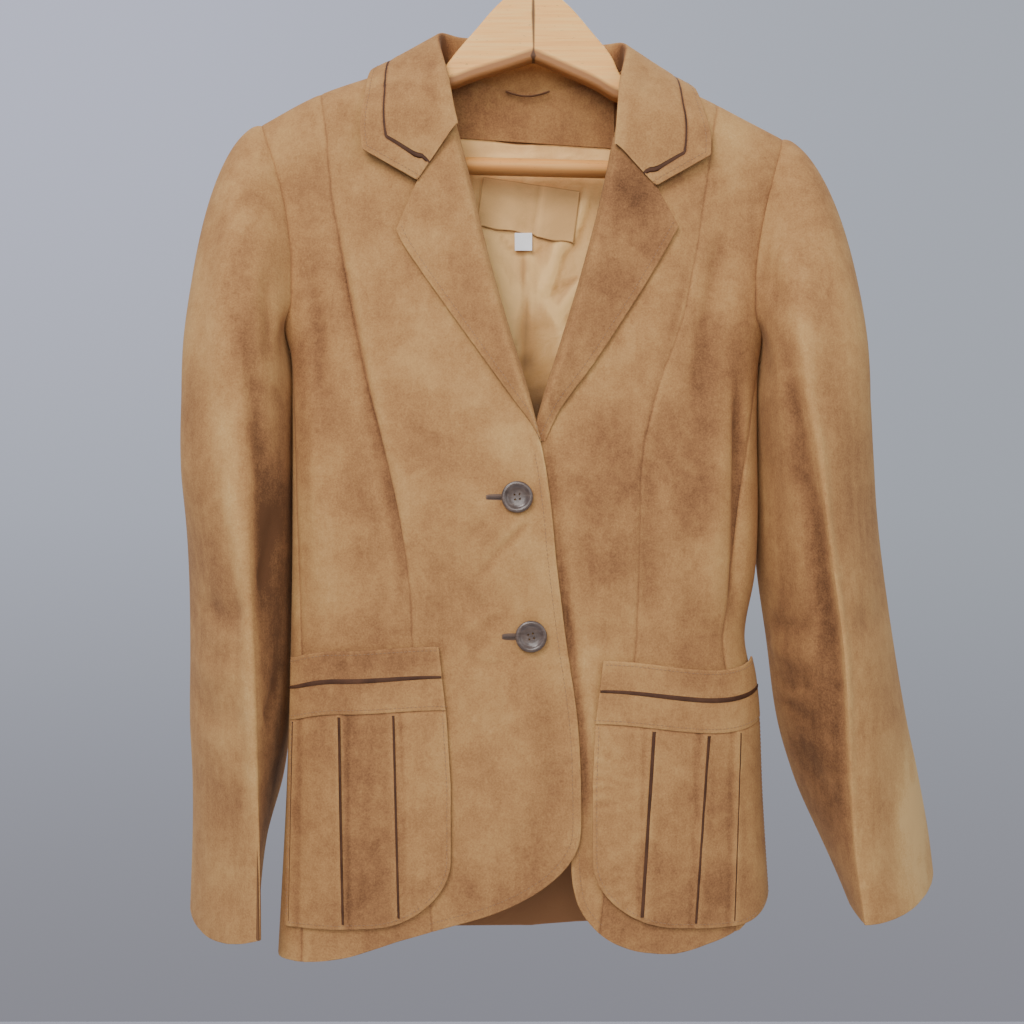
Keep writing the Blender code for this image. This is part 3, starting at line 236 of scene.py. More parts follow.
def shadeAt(x, z, table):
    total = np.zeros(np.shape(x))
    for path, width, amount, *lean in table.values():
        distance, share = nearPath(x, z, path)
        wide = width * (1 + sum(lean) * np.sign(distance))
        total = total + amount * bell(distance, wide) * ease(share, 0, 0.3) * ease(1 - share, 0, 0.3)
    return total


def foldHeight(x, z, table):
    return shadeAt(x, z, table) / 1000


# the form of the body
def ringShare(turn):
    across, along = np.sin(turn * math.pi / 2), np.cos(turn * math.pi / 2)
    power = cloth["squareness"]
    size = (np.abs(across) ** power + np.abs(along) ** power) ** (1 / power)
    return across / size, along / size


def turnFromShare(share):
    power = cloth["squareness"]
    share = np.clip(share, 0, 0.99999)
    return np.arctan2(share, (1 - share ** power) ** (1 / power)) / (math.pi / 2)


def turnOf(x, z):
    half = body.sideAt(z, np.where(np.asarray(x) >= 0, 1, -1))
    return np.where(np.asarray(x) >= 0, 1, -1) * turnFromShare(np.abs(x) / half)


def backTurn(x, z):
    turn = turnOf(x, z)
    return np.where(np.asarray(x) >= 0, 2 - turn, -2 - turn)


def plainPoint(turn, z, out=0.0):
    turn, z, out = np.broadcast_arrays(np.asarray(turn, float), z, out)
    side = np.where(turn >= 0, 1, -1)
    half = body.sideAt(z, side) + out
    sideY = body.sideAt(z, side, "Y")
    amount = np.abs(turn)
    across, along = ringShare(np.where(amount <= 1, amount, 2 - amount))
    face = np.where(amount <= 1, body.at(z, "front") - out, body.at(z, "back") + out)
    x = side * half * across
    y = sideY + (face - sideY) * along
    drop = np.clip((ridge.at(x, "z") + out - z) / cloth["shoulderRound"], 0, 1)
    return vector(x, y * np.sqrt(1 - (1 - drop) ** 2), z)


def bodyPoint(turn, z, out=0.0):
    plain = plainPoint(turn, z)
    front = ease(1.15 - np.abs(turn), 0, 0.3)
    lift = foldHeight(plain[..., 0], plain[..., 2], frontFolds) * front
    lift = lift + foldHeight(plain[..., 0], plain[..., 2], backFolds) * (1 - front)
    return plainPoint(turn, z, out + lift)


def frontPoint(x, z, out=0.0, side=left):
    return frontPlace(side)(turnOf(x, z), z, out)


def hemAt(x, side):
    (midX, midZ), (across, down) = frontCorner[side]
    share = np.clip(np.abs(x - midX) / across, 0, 1)
    power = cornerPower[side]
    arc = midZ + cornerTilt[side] * (x - midX) - down * (1 - share ** power) ** (1 / power)
    return np.where(side * (x - midX) > 0, hem.at(x, "z"), arc)


def neckSeam(x):
    end = np.where(np.asarray(x) > 0, ridge.at(neck["half"], "z"), ridge.at(-neck["half"], "z"))
    return mix(neck["back"], end, np.minimum(np.abs(x) / neck["half"], 1) ** 2)


def armholePoint(side, v, front, gap):
    z = mix(ridge.at(tip[side], "z"), underarm[side], (1 - np.cos(v * math.pi)) / 2)
    share = (armhole.at(z, sideName(side)) - gap) / body.at(z, sideName(side))
    turn = mix(turnFromShare(np.minimum(share, 0.9995)), 1.0, ease(v, 0.70, 1.0))
    return np.where(front, turn, 2 - turn), z


def hemSide(side):
    key = sideName(side)
    return hem.at(side * body.at(seamFoot, key) * sideSeam.at(seamFoot, key), "z")


def outerSeam(side, v, front, gap):
    armTurn, armZ = armholePoint(side, np.minimum(v / armRow, 1), front, cloth["seamGap"])
    z = mix(underarm[side], hemSide(side), np.maximum(v - armRow, 0) / (1 - armRow))
    turn = turnFromShare(sideSeam.at(z, sideName(side))) + (-gap if front else gap)
    low = v > armRow
    return np.where(low, turn, armTurn), np.where(low, z, armZ)


def cumulative(points):
    return np.concatenate([[0], np.cumsum(np.linalg.norm(np.diff(points, axis=0), axis=1))])


def alongPath(path, shares, place):
    # places on a path of (turn, z), at shares of its real length
    path = np.asarray(path, float)
    lengths = cumulative(place(path[:, 0], path[:, 1], 0.0))
    keys = np.asarray(shares) * lengths[-1]
    return np.stack([np.interp(keys, lengths, path[:, i]) for i in (0, 1)], -1)


def between(start, end, top, bottom, rows, columns, place):
    # fills the cut between its four edges with an even grid of (turn, z)
    a, b = (alongPath(path, rows, place)[:, None] for path in (start, end))
    c, d = (alongPath(path, columns, place)[None] for path in (top, bottom))
    v, u = rows[:, None, None], columns[None, :, None]
    corners = mix(mix(c[:, :1], c[:, -1:], u), mix(d[:, :1], d[:, -1:], u), v)
    return mix(a, b, u) + mix(c, d, v) - corners


def frontPlace(side):
    # the way from a place on a front to its point in space; the right one sinks under the left
    def place(turn, z, out=0.0):
        if side == right:
            x = plainPoint(turn, z)[..., 0]
            lapped = ease(frontEdge.at(z, "left") + 0.0125 - x, 0.0, 0.0115)
            out = out - overlap * lapped * ease(-np.asarray(z), 0.375, 0.415)
        return bodyPoint(turn, z, out)
    return place


def sidePlace(side):
    return lambda turn, z, out=0.0: bodyPoint(side * turn, z, out)


def frontCut(side):
    # four edges of a centre front: princess seam, roll line and front edge, shoulder, hem
    key = sideName(side)
    (midX, midZ), (across, down) = frontCorner[side]
    seamLow = princess.at(seamFoot, key)
    topX = side * (princess.at(seamHead, key) - cloth["seamGap"])
    lowX = side * (seamLow - cloth["seamGap"])
    z = np.linspace(ridge.at(topX, "z"), hemAt(lowX, side), 260)
    start = np.stack([turnOf(side * (princess.at(z, key) - cloth["seamGap"]), z), z], -1)
    power = 2 / cornerPower[side]
    last = math.acos(min(max(side * (midX - lowX) / across, 0.0), 1.0) ** (1 / power))
    tilt = cornerTilt[side]
    z = np.linspace(ridge.at(side * neck["half"], "z") - justUnder, midZ - tilt * side * across, 260)
    edge = np.stack([frontEdge.at(z, key), z], -1)
    arc = np.linspace(0, last, 81)
    reach = -side * across * np.cos(arc) ** power
    arc = np.stack([midX + reach, midZ + tilt * reach - down * np.sin(arc) ** power], -1)
    flat = np.linspace(arc[-1, 0], lowX, 20)
    flat = np.stack([flat, hemAt(flat, side)], -1)[1:]
    end = np.concatenate([edge, arc[1:41]])
    bottom = np.concatenate([arc[40:], flat if side * (midX - lowX) < 0 else flat[:0]])[::-1]
    x = np.linspace(topX, side * neck["half"], 60)
    top = np.stack([x, ridge.at(x, "z") - justUnder], -1)
    turned = [np.stack([turnOf(p[:, 0], p[:, 1]), p[:, 1]], -1) for p in (end, top, bottom)]
    return start, turned[0], turned[1], turned[2]


def sideCut(side):
    key = sideName(side)
    topX = side * (princess.at(seamHead, key) + cloth["seamGap"])
    lowX = side * (princess.at(seamFoot, key) + cloth["seamGap"])
    z = np.linspace(ridge.at(topX, "z") - justUnder, hemAt(lowX, side), 260)
    start = np.stack([np.abs(turnOf(side * (princess.at(z, key) + cloth["seamGap"]), z)), z], -1)
    end = np.stack(outerSeam(side, np.linspace(0, 1, 400), True, 0.0001), -1)
    x = np.linspace(topX, tip[side], 60)
    top = np.stack([np.abs(turnOf(x, ridge.at(x, "z"))), ridge.at(x, "z") - justUnder], -1)
    turn = np.linspace(start[-1, 0], end[-1, 0], 80)
    z = hemAt(plainPoint(side * turn, np.full(80, -0.825))[:, 0], side)
    end[-1, 1] = z[-1]
    return start, end, top, np.stack([turn, z], -1)


def backCut(side):
    z = np.linspace(neck["back"], hemBack, 260)
    start = np.stack([np.full(260, 2 - 0.00002), z], -1)
    end = np.stack(outerSeam(side, np.linspace(0, 1, 400), False, 0.0001), -1)
    x = np.linspace(0.00001, abs(tip[side]), 120) * side
    z = np.where(np.abs(x) < neck["half"], neckSeam(x), ridge.at(x, "z") - justUnder)
    top = np.stack([np.abs(backTurn(x, z)), z], -1)
    u = np.linspace(0, 1, 80)
    z = mix(hemBack, end[-1, 1], u ** hemBend[side]) + hemLift[side] * ease(1 - u, 0.0, 0.08) * ease(u, 0.5, 0.9)
    return start, end, top, np.stack([mix(start[-1, 0], end[-1, 0], u), z], -1)


# meshes
def stops(length, step, startRim=True, endRim=True):
    # shares of a length, closer together at its rims
    rim = [0.0, 0.0004, 0.0010, 0.0018, 0.0030]
    spread = list(np.linspace(0, 1, max(int(length / step), 2) + 1))
    if startRim:
        spread = [s for s in spread if s > 0.0045 / length] + [r / length for r in rim]
    if endRim:
        spread = [s for s in spread if s < 1 - 0.0045 / length] + [1 - r / length for r in rim]
    return np.array(sorted(set(spread)))


def linked(name, data):
    piece = bpy.data.objects.new(name, data)
    bpy.context.scene.collection.objects.link(piece)
    return piece


def skins(place, a, b, out=0.0, way=1):
    # a grid, and the same grid a millimetre to the side that shows
    return place(a, b, out), place(a, b, out + way * 0.001)


def gridNormals(grid, lifted):
    normal = unit(np.cross(np.gradient(grid, axis=1), np.gradient(grid, axis=0)))
    return normal * np.sign(np.mean(np.sum(normal * (lifted - grid), -1)))


def meshObject(name, points, faces, finish, fields=None, smooth=0.9):
    mesh = bpy.data.meshes.new(name)
    mesh.from_pydata(np.asarray(points).tolist(), [], [tuple(int(i) for i in f) for f in faces])
    for key, values in (fields or {}).items():
        made = mesh.attributes.new(key, "FLOAT", "POINT")
        made.data.foreach_set("value", np.ravel(values).astype(np.float32))
    mesh.shade_smooth()
    mesh.set_sharp_from_angle(angle=smooth)
    mesh.materials.append(finish)
    mesh.validate()
    return linked(name, mesh)


def loftPiece(name, rings, finish, smooth=0.6, fields=None):
    # closed rings joined one to the next, with a flat face at each end
    count = len(rings[0])
    faces = [[i * count + j, i * count + (j + 1) % count, (i + 1) * count + (j + 1) % count, (i + 1) * count + j]
             for i in range(len(rings) - 1) for j in range(count)]
    faces += [list(range(count))[::-1], [(len(rings) - 1) * count + j for j in range(count)]]
    points = np.concatenate(rings)
    middle = points - points.mean(0)
    volume = sum(np.dot(middle[f[0]], np.cross(middle[f[k]], middle[f[k + 1]]))
                 for f in faces for k in range(1, len(f) - 1))
    if volume < 0:
        faces = [f[::-1] for f in faces]
    return meshObject(name, points, faces, finish, fields, smooth=smooth)


def ribbonPiece(name, path, ups, width, low, high, finish, crown=0.3):
    # a flat strip along a path, a little rounded over its width
    path, ups = np.asarray(path), unit(np.asarray(ups))
    aside = unit(np.cross(unit(np.gradient(path, axis=0)), ups))
    width = np.broadcast_to(width, len(path))[:, None]
    shape = ((-0.5, low), (-0.5, mix(low, high, 0.6)), (-0.36, high), (0.0, high + crown * (high - low)),
             (0.36, high), (0.5, mix(low, high, 0.6)), (0.5, low))
    rings = np.stack([path + aside * width * a + ups * b for a, b in shape], 1)
    return loftPiece(name, rings, finish, smooth=0.9)


def shellObject(name, outer, inner, finish, fields=None):
    # a closed wall between two grids, with its faces outwards
    rows, columns = outer.shape[:2]
    index = np.arange(rows * columns).reshape(rows, columns)
    a, b, c, d = index[:-1, :-1], index[:-1, 1:], index[1:, 1:], index[1:, :-1]
    quads = np.stack([a, b, c, d], -1).reshape(-1, 4)
    count = rows * columns
    rim = np.concatenate([index[0, :], index[1:, -1], index[-1, -2::-1], index[-2:0:-1, 0]])
    after = np.roll(rim, -1)
    walls = np.stack([rim, rim + count, after + count, after], -1)
    middle = quads[len(quads) // 2]
    flat = outer.reshape(-1, 3)
    normal = np.cross(flat[middle[1]] - flat[middle[0]], flat[middle[3]] - flat[middle[0]])
    away = flat[middle[0]] - inner.reshape(-1, 3)[middle[0]]
    faces = np.concatenate([quads, quads[:, ::-1] + count, walls])
    if normal @ away < 0:
        faces = faces[:, ::-1]
    both = {key: np.concatenate([np.ravel(v), np.ravel(v)]) for key, v in (fields or {}).items()}
    both["inside"] = np.concatenate([np.zeros(count), np.ones(count)])
    return meshObject(name, np.concatenate([flat, inner.reshape(-1, 3)]), faces, finish, both)


def distanceTo(points, line):
    # distance of each point to a line of points, refined to about half a millimetre
    line = np.asarray(line)
    lengths = cumulative(line)
    keys = np.linspace(0, lengths[-1], max(int(lengths[-1] / 0.001), 2))
    fine = np.stack([np.interp(keys, lengths, line[:, i]) for i in range(3)], -1)
    flat = points.reshape(-1, 3)
    best = np.full(len(flat), 9.0)
    for start in range(0, len(flat), 4000):
        block = flat[start:start + 4000]
        gap = block[:, None, :] - fine[None, :, :]
        best[start:start + 4000] = np.sqrt((gap * gap).sum(-1).min(1))
    return best.reshape(points.shape[:-1])


def rimLines(grid, which):
    found = {"top": grid[0], "bottom": grid[-1], "start": grid[:, 0], "end": grid[:, -1]}
    return [found[w] for w in which]


def toneAt(points, patches):
    # soft patches: where (x, z), how wide and how high in millimetres, and how much lighter; they hold the suede's
    # uneven colour and also painted light and shade
    tone = np.zeros(points.shape[:-1])
    for x, z, wide, high, amount in patches:
        away = np.hypot((points[..., 0] * 1000 - x) / wide, (points[..., 2] * 1000 - z) / high)
        tone = tone + amount * np.exp(-away ** 2 * 1.4)
    return tone


def clothPiece(name, base, lifted, wall, finish, seams=(), edges=(), patches=(), fold=0.0, under=None, shade=0.0):
    # a wall of cloth; seams sink a little at their edges, free edges are rounded
    normal = gridNormals(base, lifted)
    seam, edge = np.full(base.shape[:2], 0.1), np.full(base.shape[:2], 0.1)
    for line in rimLines(base, seams):
        seam = np.minimum(seam, distanceTo(base, line))
    for line in rimLines(base, edges):
        edge = np.minimum(edge, distanceTo(base, line))
    near = np.clip(1 - edge / cloth["edgeRound"], 0, 1)
    rounding = 0.45 * wall * (1 - np.sqrt(1 - near * near))
    height = fold - cloth["seamSink"] * bell(seam, cloth["seamWidth"]) - rounding
    outer = base + normal * height[..., None]
    inner = base + normal * (fold - wall + rounding)[..., None] if under is None else under
    # tone holds the patches plus the painted shade and light passed in as shade; crease is the curvature that the
    # finishes turn into painted shade in troughs and painted light on ridges
    fields = {"seam": seam, "edge": edge, "crease": curvature(outer, normal), "tone": toneAt(base, patches) + shade}
    piece = shellObject(name, outer, inner, finish, fields)
    area = np.linalg.norm(np.cross(base[1:, :-1] - base[:-1, :-1], base[:-1, 1:] - base[:-1, :-1]), axis=-1).sum()
    wide = max(cumulative(row)[-1] for row in base)
    long = max(cumulative(row)[-1] for row in base.transpose(1, 0, 2))
    print("%s: %d faces, %.3f by %.3f, area %.4f" % (name, len(piece.data.polygons), wide, long, area))
    return piece, outer, normal


def curvature(grid, normal):
    # about 1 on a ridge and -1 in a trough a couple of centimetres wide
    total = np.zeros(grid.shape[:2])
    for axis in (0, 1):
        for step in (2, 5):
            count = grid.shape[axis]
            if count <= 2 * step:
                continue
            back = np.take(grid, np.maximum(np.arange(count) - step, 0), axis)
            ahead = np.take(grid, np.minimum(np.arange(count) + step, count - 1), axis)
            span = np.linalg.norm(ahead - back, axis=-1)
            rise = np.sum((grid - (back + ahead) / 2) * normal, -1)
            total += np.clip(rise / np.maximum(span, 1e-6) * 9, -1, 1)
    return np.clip(total / 2, -1, 1)


# shader sums: a wrapped socket whose operators add Math nodes
class Wire:
    def __init__(self, graph, socket):
        self.graph, self.socket = graph, socket

    def __add__(self, other):
        return self.graph.sum("ADD", self, other)

    def __sub__(self, other):
        return self.graph.sum("SUBTRACT", self, other)

    def __rsub__(self, other):
        return self.graph.sum("SUBTRACT", other, self)

    def __mul__(self, other):
        return self.graph.sum("MULTIPLY", self, other)

    def __truediv__(self, other):
        return self.graph.sum("DIVIDE", self, other)

    __radd__, __rmul__ = __add__, __mul__


class Graph:
    def __init__(self, name, owner=None):
        self.material = owner or bpy.data.materials.new(name)
        self.material.use_nodes = True
        self.tree = self.material.node_tree
        self.shader = self.tree.nodes["Background" if owner else "Principled BSDF"]
        self.place = self.add("ShaderNodeTexCoord", out="Generated" if owner else "Object")

    def add(self, kind, settings=None, sockets=None, out=0):
        node = self.tree.nodes.new(kind)
        for key, value in (settings or {}).items():
            if key == "stops":
                ramp = node.color_ramp
                while len(ramp.elements) < len(value):
                    ramp.elements.new(0.5)
                for element, (position, colour) in zip(ramp.elements, value):
                    element.position, element.color = position, (*colour, 1)
            else:
                setattr(node, key, value)
        for key, value in (sockets or {}).items():
            self.put(node.inputs[key], value)
        return Wire(self, node.outputs[out])

    def put(self, socket, value):
        if isinstance(value, Wire):
            self.tree.links.new(value.socket, socket)
        elif socket.type == "RGBA" and len(value) == 3:
            socket.default_value = (*value, 1)
        else:
            socket.default_value = value

    def sum(self, operation, a, b=0.0, c=0.0):
        return self.add("ShaderNodeMath", {"operation": operation}, {0: a, 1: b, 2: c})

    def blend(self, factor, a, b, how="MIX"):
        return self.add("ShaderNodeMix", {"data_type": "RGBA", "blend_type": how}, {0: factor, 6: a, 7: b}, out=2)

    def scaled(self, x, y, z):
        return self.add("ShaderNodeVectorMath", {"operation": "MULTIPLY"}, {0: self.place, 1: (x, y, z)})

    def noise(self, scale, detail=2.0, roughness=0.5, vector=None, distortion=0.0):
        return self.add("ShaderNodeTexNoise", {}, {"Vector": vector or self.place, "Scale": scale,
                        "Detail": detail, "Roughness": roughness, "Distortion": distortion})

    def ramp(self, value, *stops):
        return self.add("ShaderNodeValToRGB", {"stops": stops}, {0: value})

    def range(self, value, low, high, start=0.0, end=1.0):
        return self.add("ShaderNodeMapRange", {"interpolation_type": "SMOOTHSTEP"},
                        {0: value, 1: low, 2: high, 3: start, 4: end})

    def field(self, name):
        return self.add("ShaderNodeAttribute", {"attribute_name": name}, out="Fac")

    def bump(self, height, distance, strength=1.0):
        normal = self.add("ShaderNodeBump", {}, {"Strength": strength, "Distance": distance, "Height": height})
        self.put(self.shader.inputs["Normal"], normal)

    def finish(self, colour, roughness, **fixed):
        self.put(self.shader.inputs["Base Color"], colour)
        self.put(self.shader.inputs["Roughness"], roughness)
        for key, value in fixed.items():
            self.put(self.shader.inputs[key], value)
        return self.material


# suede
suede = {"dark": (0.132, 0.058, 0.025), "low": (0.272, 0.127, 0.051), "mid": (0.404, 0.208, 0.077),
         "light": (0.505, 0.290, 0.107), "pale": (0.590, 0.372, 0.150), "inside": (0.190, 0.088, 0.036),
         "cloudSize": 8.0, "napSize": 760.0}


def suedeFinish(name, shift=0.0, streak=0.10, offset=(0, 0, 0), inside=suede["inside"]):
    g = Graph(name)
    g.place = g.add("ShaderNodeVectorMath", {"operation": "ADD"}, {0: g.place, 1: offset})
    cloud = g.noise(suede["cloudSize"], 3.0, 0.5, distortion=0.3)
    patchy = g.range(g.noise(24.0, 4.0, 0.55, distortion=0.4), 0.34, 0.68)
    streaks = g.noise(1.0, 4.0, 0.65, g.scaled(120, 120, 16))
    mottle = g.noise(130.0, 5.0, 0.75)
    nap = g.noise(suede["napSize"], 3.0, 0.70)
    value = (0.5 + shift) + (cloud - 0.5) * 0.48 + (patchy - 0.5) * 0.17 + (streaks - 0.5) * (2 * streak)
    # painted shade and light: tone and the curvature darken troughs and lighten ridges
    value = value + (mottle - 0.5) * 0.42 + (nap - 0.5) * 0.62 + g.field("tone") + g.field("crease") * 0.12
    seam, edge = g.field("seam"), g.field("edge")
    # painted shade darkens the suede along the seams; free edges are a little lighter
    value = value - g.range(seam, 0.0, 0.0015, 0.11, 0.0) + g.range(edge, 0.0, 0.0022, 0.05, 0.0)
    colour = g.ramp(value, (0.02, suede["dark"]), (0.28, suede["low"]), (0.52, suede["mid"]),
                    (0.76, suede["light"]), (1.0, suede["pale"]))
    soil = g.range(g.noise(34.0, 3.0, 0.5, distortion=0.8), 0.60, 0.78) * 0.10
    colour = g.blend(soil, colour, (0.20, 0.11, 0.05))
    # the inner skin goes towards near black where the painted shade is deep
    within = g.blend(g.range(g.field("tone"), -0.6, 0.0), (0.060, 0.028, 0.014), inside)
    colour = g.blend(g.field("inside"), colour, within)
    g.bump((nap - 0.5) * 0.5 + (mottle - 0.5) * 1.1 + g.noise(48.0, 3.0, 0.5) * 1.3, 0.0006, 0.5)
    return g.finish(colour, 0.92, **{"Sheen Weight": 0.10, "Sheen Roughness": 0.5,
                    "Sheen Tint": (0.95, 0.72, 0.45), "Specular IOR Level": 0.15})


def trimFinish(name, dark=(0.052, 0.021, 0.010), light=(0.105, 0.045, 0.022)):
    g = Graph(name)
    grain = g.add("ShaderNodeTexVoronoi", {"feature": "DISTANCE_TO_EDGE"}, {"Vector": g.place, "Scale": 1400.0})
    cloud = g.noise(60.0, 4.0, 0.6)
    colour = g.ramp(cloud, (0.3, dark), (0.7, light))
    g.bump(g.range(grain, 0.0, 0.3), 0.00015, 0.6)
    return g.finish(colour, 0.60 + (cloud - 0.5) * 0.3, **{"Specular IOR Level": 0.2})


def satinFinish(name, dark, light, roughness=0.40, bumps=2.4):
    g = Graph(name)
    weave = g.noise(1.0, 2.0, 0.5, g.scaled(900, 900, 5200))
    cloud = g.noise(14.0, 4.0, 0.55, distortion=0.8)
    # painted shade and light: curvature darkens the troughs of the satin and lightens its crests, and tone adds
    # painted shadows
    value = cloud * 0.8 + (weave - 0.5) * 0.25 + g.field("crease") * 0.45 + g.field("tone")
    value = value - g.range(g.field("edge"), 0.0002, 0.0012, 0.25, 0.0)
    # the darkest stop is painted shadow, deep in the V and in the folds
    colour = g.ramp(value * 0.6 + 0.3, (0.0, (0.110, 0.043, 0.014)), (0.385, dark), (0.60, light))
    g.bump((weave - 0.5) * 0.3 + g.noise(60.0, 3.0, 0.55, distortion=0.8) * bumps, 0.0010, 0.6)
    return g.finish(colour, roughness + (weave - 0.5) * 0.1, **{"Specular IOR Level": 0.25})


def woodFinish(name, turned, paler=1.0):
    # the grain runs along the arm
    g = Graph(name)
    spun = g.add("ShaderNodeMapping", {}, {"Vector": g.place, "Rotation": (0.0, turned, 0.0),
                                           "Scale": (3.0, 90.0, 90.0)})
    wobble = g.noise(1.6, 2.0, 0.5, spun)
    fine = g.noise(7.0, 5.0, 0.75, spun)
    lines = g.range(g.noise(3.4, 3.0, 0.6, spun), 0.42, 0.62)
    value = lines * 0.30 + wobble * 0.40 + fine * 0.40
    shades = ((0.20, (0.880, 0.400, 0.105)), (0.45, (1.000, 0.510, 0.145)), (0.75, (1.000, 0.590, 0.195)))
    colour = g.ramp(value, *[(at, tuple(c * paler ** (i + 1) for i, c in enumerate(shade))) for at, shade in shades])
    flecks = g.range(g.noise(1.0, 1.0, 0.5, g.scaled(260, 260, 900)), 0.70, 0.78)
    colour = g.blend(flecks * 0.35, colour, (0.26, 0.12, 0.05))
    # painted shade on the underside of the arm and rail
    colour = g.blend(g.field("under") * 0.92, colour, (0.300, 0.120, 0.038))
    colour = g.blend(g.range(g.field("joint"), 0.0002, 0.0017, 0.90, 0.0), colour, (0.075, 0.032, 0.014))
    g.bump(fine * 0.8 + lines * 0.3, 0.00025, 0.5)
    return g.finish(colour, 0.50 + (fine - 0.5) * 0.25, **{"Coat Weight": 0.04, "Coat Roughness": 0.3,
                    "Specular IOR Level": 0.25})


def hornFinish(name):
    g = Graph(name)
    swirl = g.noise(1.0, 4.0, 0.55, g.scaled(90, 90, 220), 1.2)
    colour = g.ramp(swirl, (0.25, (0.046, 0.028, 0.019)), (0.52, (0.090, 0.058, 0.042)),
                    (0.80, (0.165, 0.115, 0.086)))
    scuff = g.noise(700.0, 3.0, 0.6)
    g.bump(scuff, 0.00004, 0.3)
    return g.finish(colour, 0.36 + (scuff - 0.5) * 0.2, **{"Coat Weight": 0.55, "Coat Roughness": 0.14})


def steelFinish(name):
    g = Graph(name)
    drawn = g.noise(1.0, 3.0, 0.6, g.scaled(1800, 1800, 90))
    colour = g.ramp(drawn, (0.2, (0.42, 0.42, 0.43)), (0.8, (0.66, 0.66, 0.67)))
    g.bump(drawn, 0.00005, 0.4)
    return g.finish(colour, 0.24 + drawn * 0.16, Metallic=1.0)


def threadFinish(name, colour):
    g = Graph(name)
    twist = g.noise(2600.0, 2.0, 0.6)
    shade = g.blend(twist, tuple(c * 0.7 for c in colour), tuple(min(c * 1.25, 1) for c in colour))
    g.bump(twist, 0.0001, 0.6)
    return g.finish(shade, 0.75, **{"Sheen Weight": 0.3})


def tapeFinish(name):
    g = Graph(name)
    weave = g.add("ShaderNodeTexChecker", {}, {"Vector": g.place, "Scale": 2400.0}, out="Fac")
    cloud = g.noise(120.0, 3.0, 0.6)
    colour = g.blend(cloud, (0.97, 0.97, 0.95), (1.0, 1.0, 1.0))
    g.bump(weave * 0.5 + cloud, 0.0001, 0.5)
    return g.finish(colour, 0.8, **{"Sheen Weight": 0.2})


finishes = {
    "front_l": suedeFinish("suedeFrontLeft", 0.02, offset=(0.3, 0, 0)),
    "front_r": suedeFinish("suedeFrontRight", -0.03, offset=(1.7, 0.4, 0.2)),
    "side_l": suedeFinish("suedeSideLeft", -0.04, offset=(0.9, 0.7, 0.5)),
    "side_r": suedeFinish("suedeSideRight", -0.06, offset=(2.1, 0.3, 0.9)),
    "back": suedeFinish("suedeBack", 0.0, offset=(4.0, 1.0, 0.4), inside=(0.300, 0.140, 0.060)),
    "sleeve_l": suedeFinish("suedeSleeveLeft", 0.0, 0.16, offset=(5.2, 0.5, 1.1)),
    "sleeve_r": suedeFinish("suedeSleeveRight", -0.02, 0.16, offset=(6.4, 0.1, 0.7)),
    "lapel_l": suedeFinish("suedeLapelLeft", -0.01, offset=(3.1, 0.9, 0.3)),
    "lapel_r": suedeFinish("suedeLapelRight", -0.10, offset=(2.6, 0.2, 0.8)),
    "collar": suedeFinish("suedeCollar", 0.02, offset=(1.2, 0.6, 0.1)),
    "pocket_l": suedeFinish("suedePocketLeft", -0.06, offset=(0.6, 0.8, 1.3)),
    "pocket_r": suedeFinish("suedePocketRight", -0.02, offset=(2.9, 0.1, 0.6)),
    "facing": suedeFinish("suedeFacing", -0.13, offset=(3.6, 0.4, 0.9)),
    "trim": trimFinish("brownTrim"),
    "welt": trimFinish("holeWelt", (0.110, 0.066, 0.044), (0.200, 0.130, 0.090)),
    "loop": trimFinish("loopLeather", (0.105, 0.046, 0.021), (0.190, 0.088, 0.044)),
    "lining": satinFinish("liningSatin", (0.680, 0.350, 0.110), (1.000, 0.620, 0.230)),
    "label": satinFinish("labelSatin", (0.560, 0.300, 0.100), (0.840, 0.500, 0.185), 0.5, 0.8),
    "tape": tapeFinish("tagTape"),
    "wood_l": woodFinish("armWoodLeft", -0.72),
    "wood_r": woodFinish("armWoodRight", 0.72),
    "woodRail": woodFinish("railWood", 0.03, 0.86),
    "horn": hornFinish("buttonHorn"),
    "steel": steelFinish("hookSteel"),
    "thread": threadFinish("tanThread", (0.270, 0.145, 0.062)),
    "brownThread": threadFinish("brownThread", (0.070, 0.040, 0.026)),
}
print("finishes made")


sheets, trims = {}, {}


def dress(piece, node, flat=None, held="hung", rests=(), on=None):
    # stands for its solid; flat is the width, length and, where the cut is no rectangle, area of the cut
    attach(piece, "root")
    if node:
        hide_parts(node)
    if flat:
        sheets[piece.name] = (piece, flat, held, list(rests))
    if on:
        trims.setdefault(on, []).append(piece)
    return piece


# the six panels of the body
# tone patches: lighter and darker zones, partly the suede's own uneven colour and partly painted light and shade where
# the body turns to or from the light
frontTones = {
    left: [(-130, -190, 20, 40, 0.08), (-118, -240, 24, 80, -0.07), (-75, -350, 34, 50, 0.1),
        (-20, -440, 30, 40, 0.1), (-75, -430, 22, 40, -0.05), (-60, -500, 22, 40, -0.04),
        (-75, -580, 16, 50, -0.1), (-30, -570, 30, 40, 0.06), (-10, -680, 40, 60, 0.03),
        (0, -780, 50, 30, -0.08)],
    right: [(45, -440, 30, 40, -0.18), (36, -592, 14, 30, 0.08), (52, -530, 32, 60, -0.14),
        (36, -640, 12, 50, 0.16), (128, -190, 16, 30, 0.18), (90, -300, 20, 40, 0.05),
        (115, -220, 16, 50, -0.05), (60, -600, 20, 26, 0.04), (70, -480, 16, 30, -0.06)]}
sideTones = {
    left: [(-185, -210, 20, 40, 0.08), (-150, -320, 14, 60, 0.03), (-175, -400, 12, 60, -0.04),
        (-125, -500, 14, 60, -0.1), (-150, -560, 20, 50, 0.05)],
    right: [(155, -220, 16, 50, 0.14), (160, -200, 26, 30, 0.34), (130, -400, 24, 60, -0.12),
        (110, -470, 26, 60, -0.1), (168, -450, 10, 60, -0.1), (110, -590, 24, 40, 0.02)]}
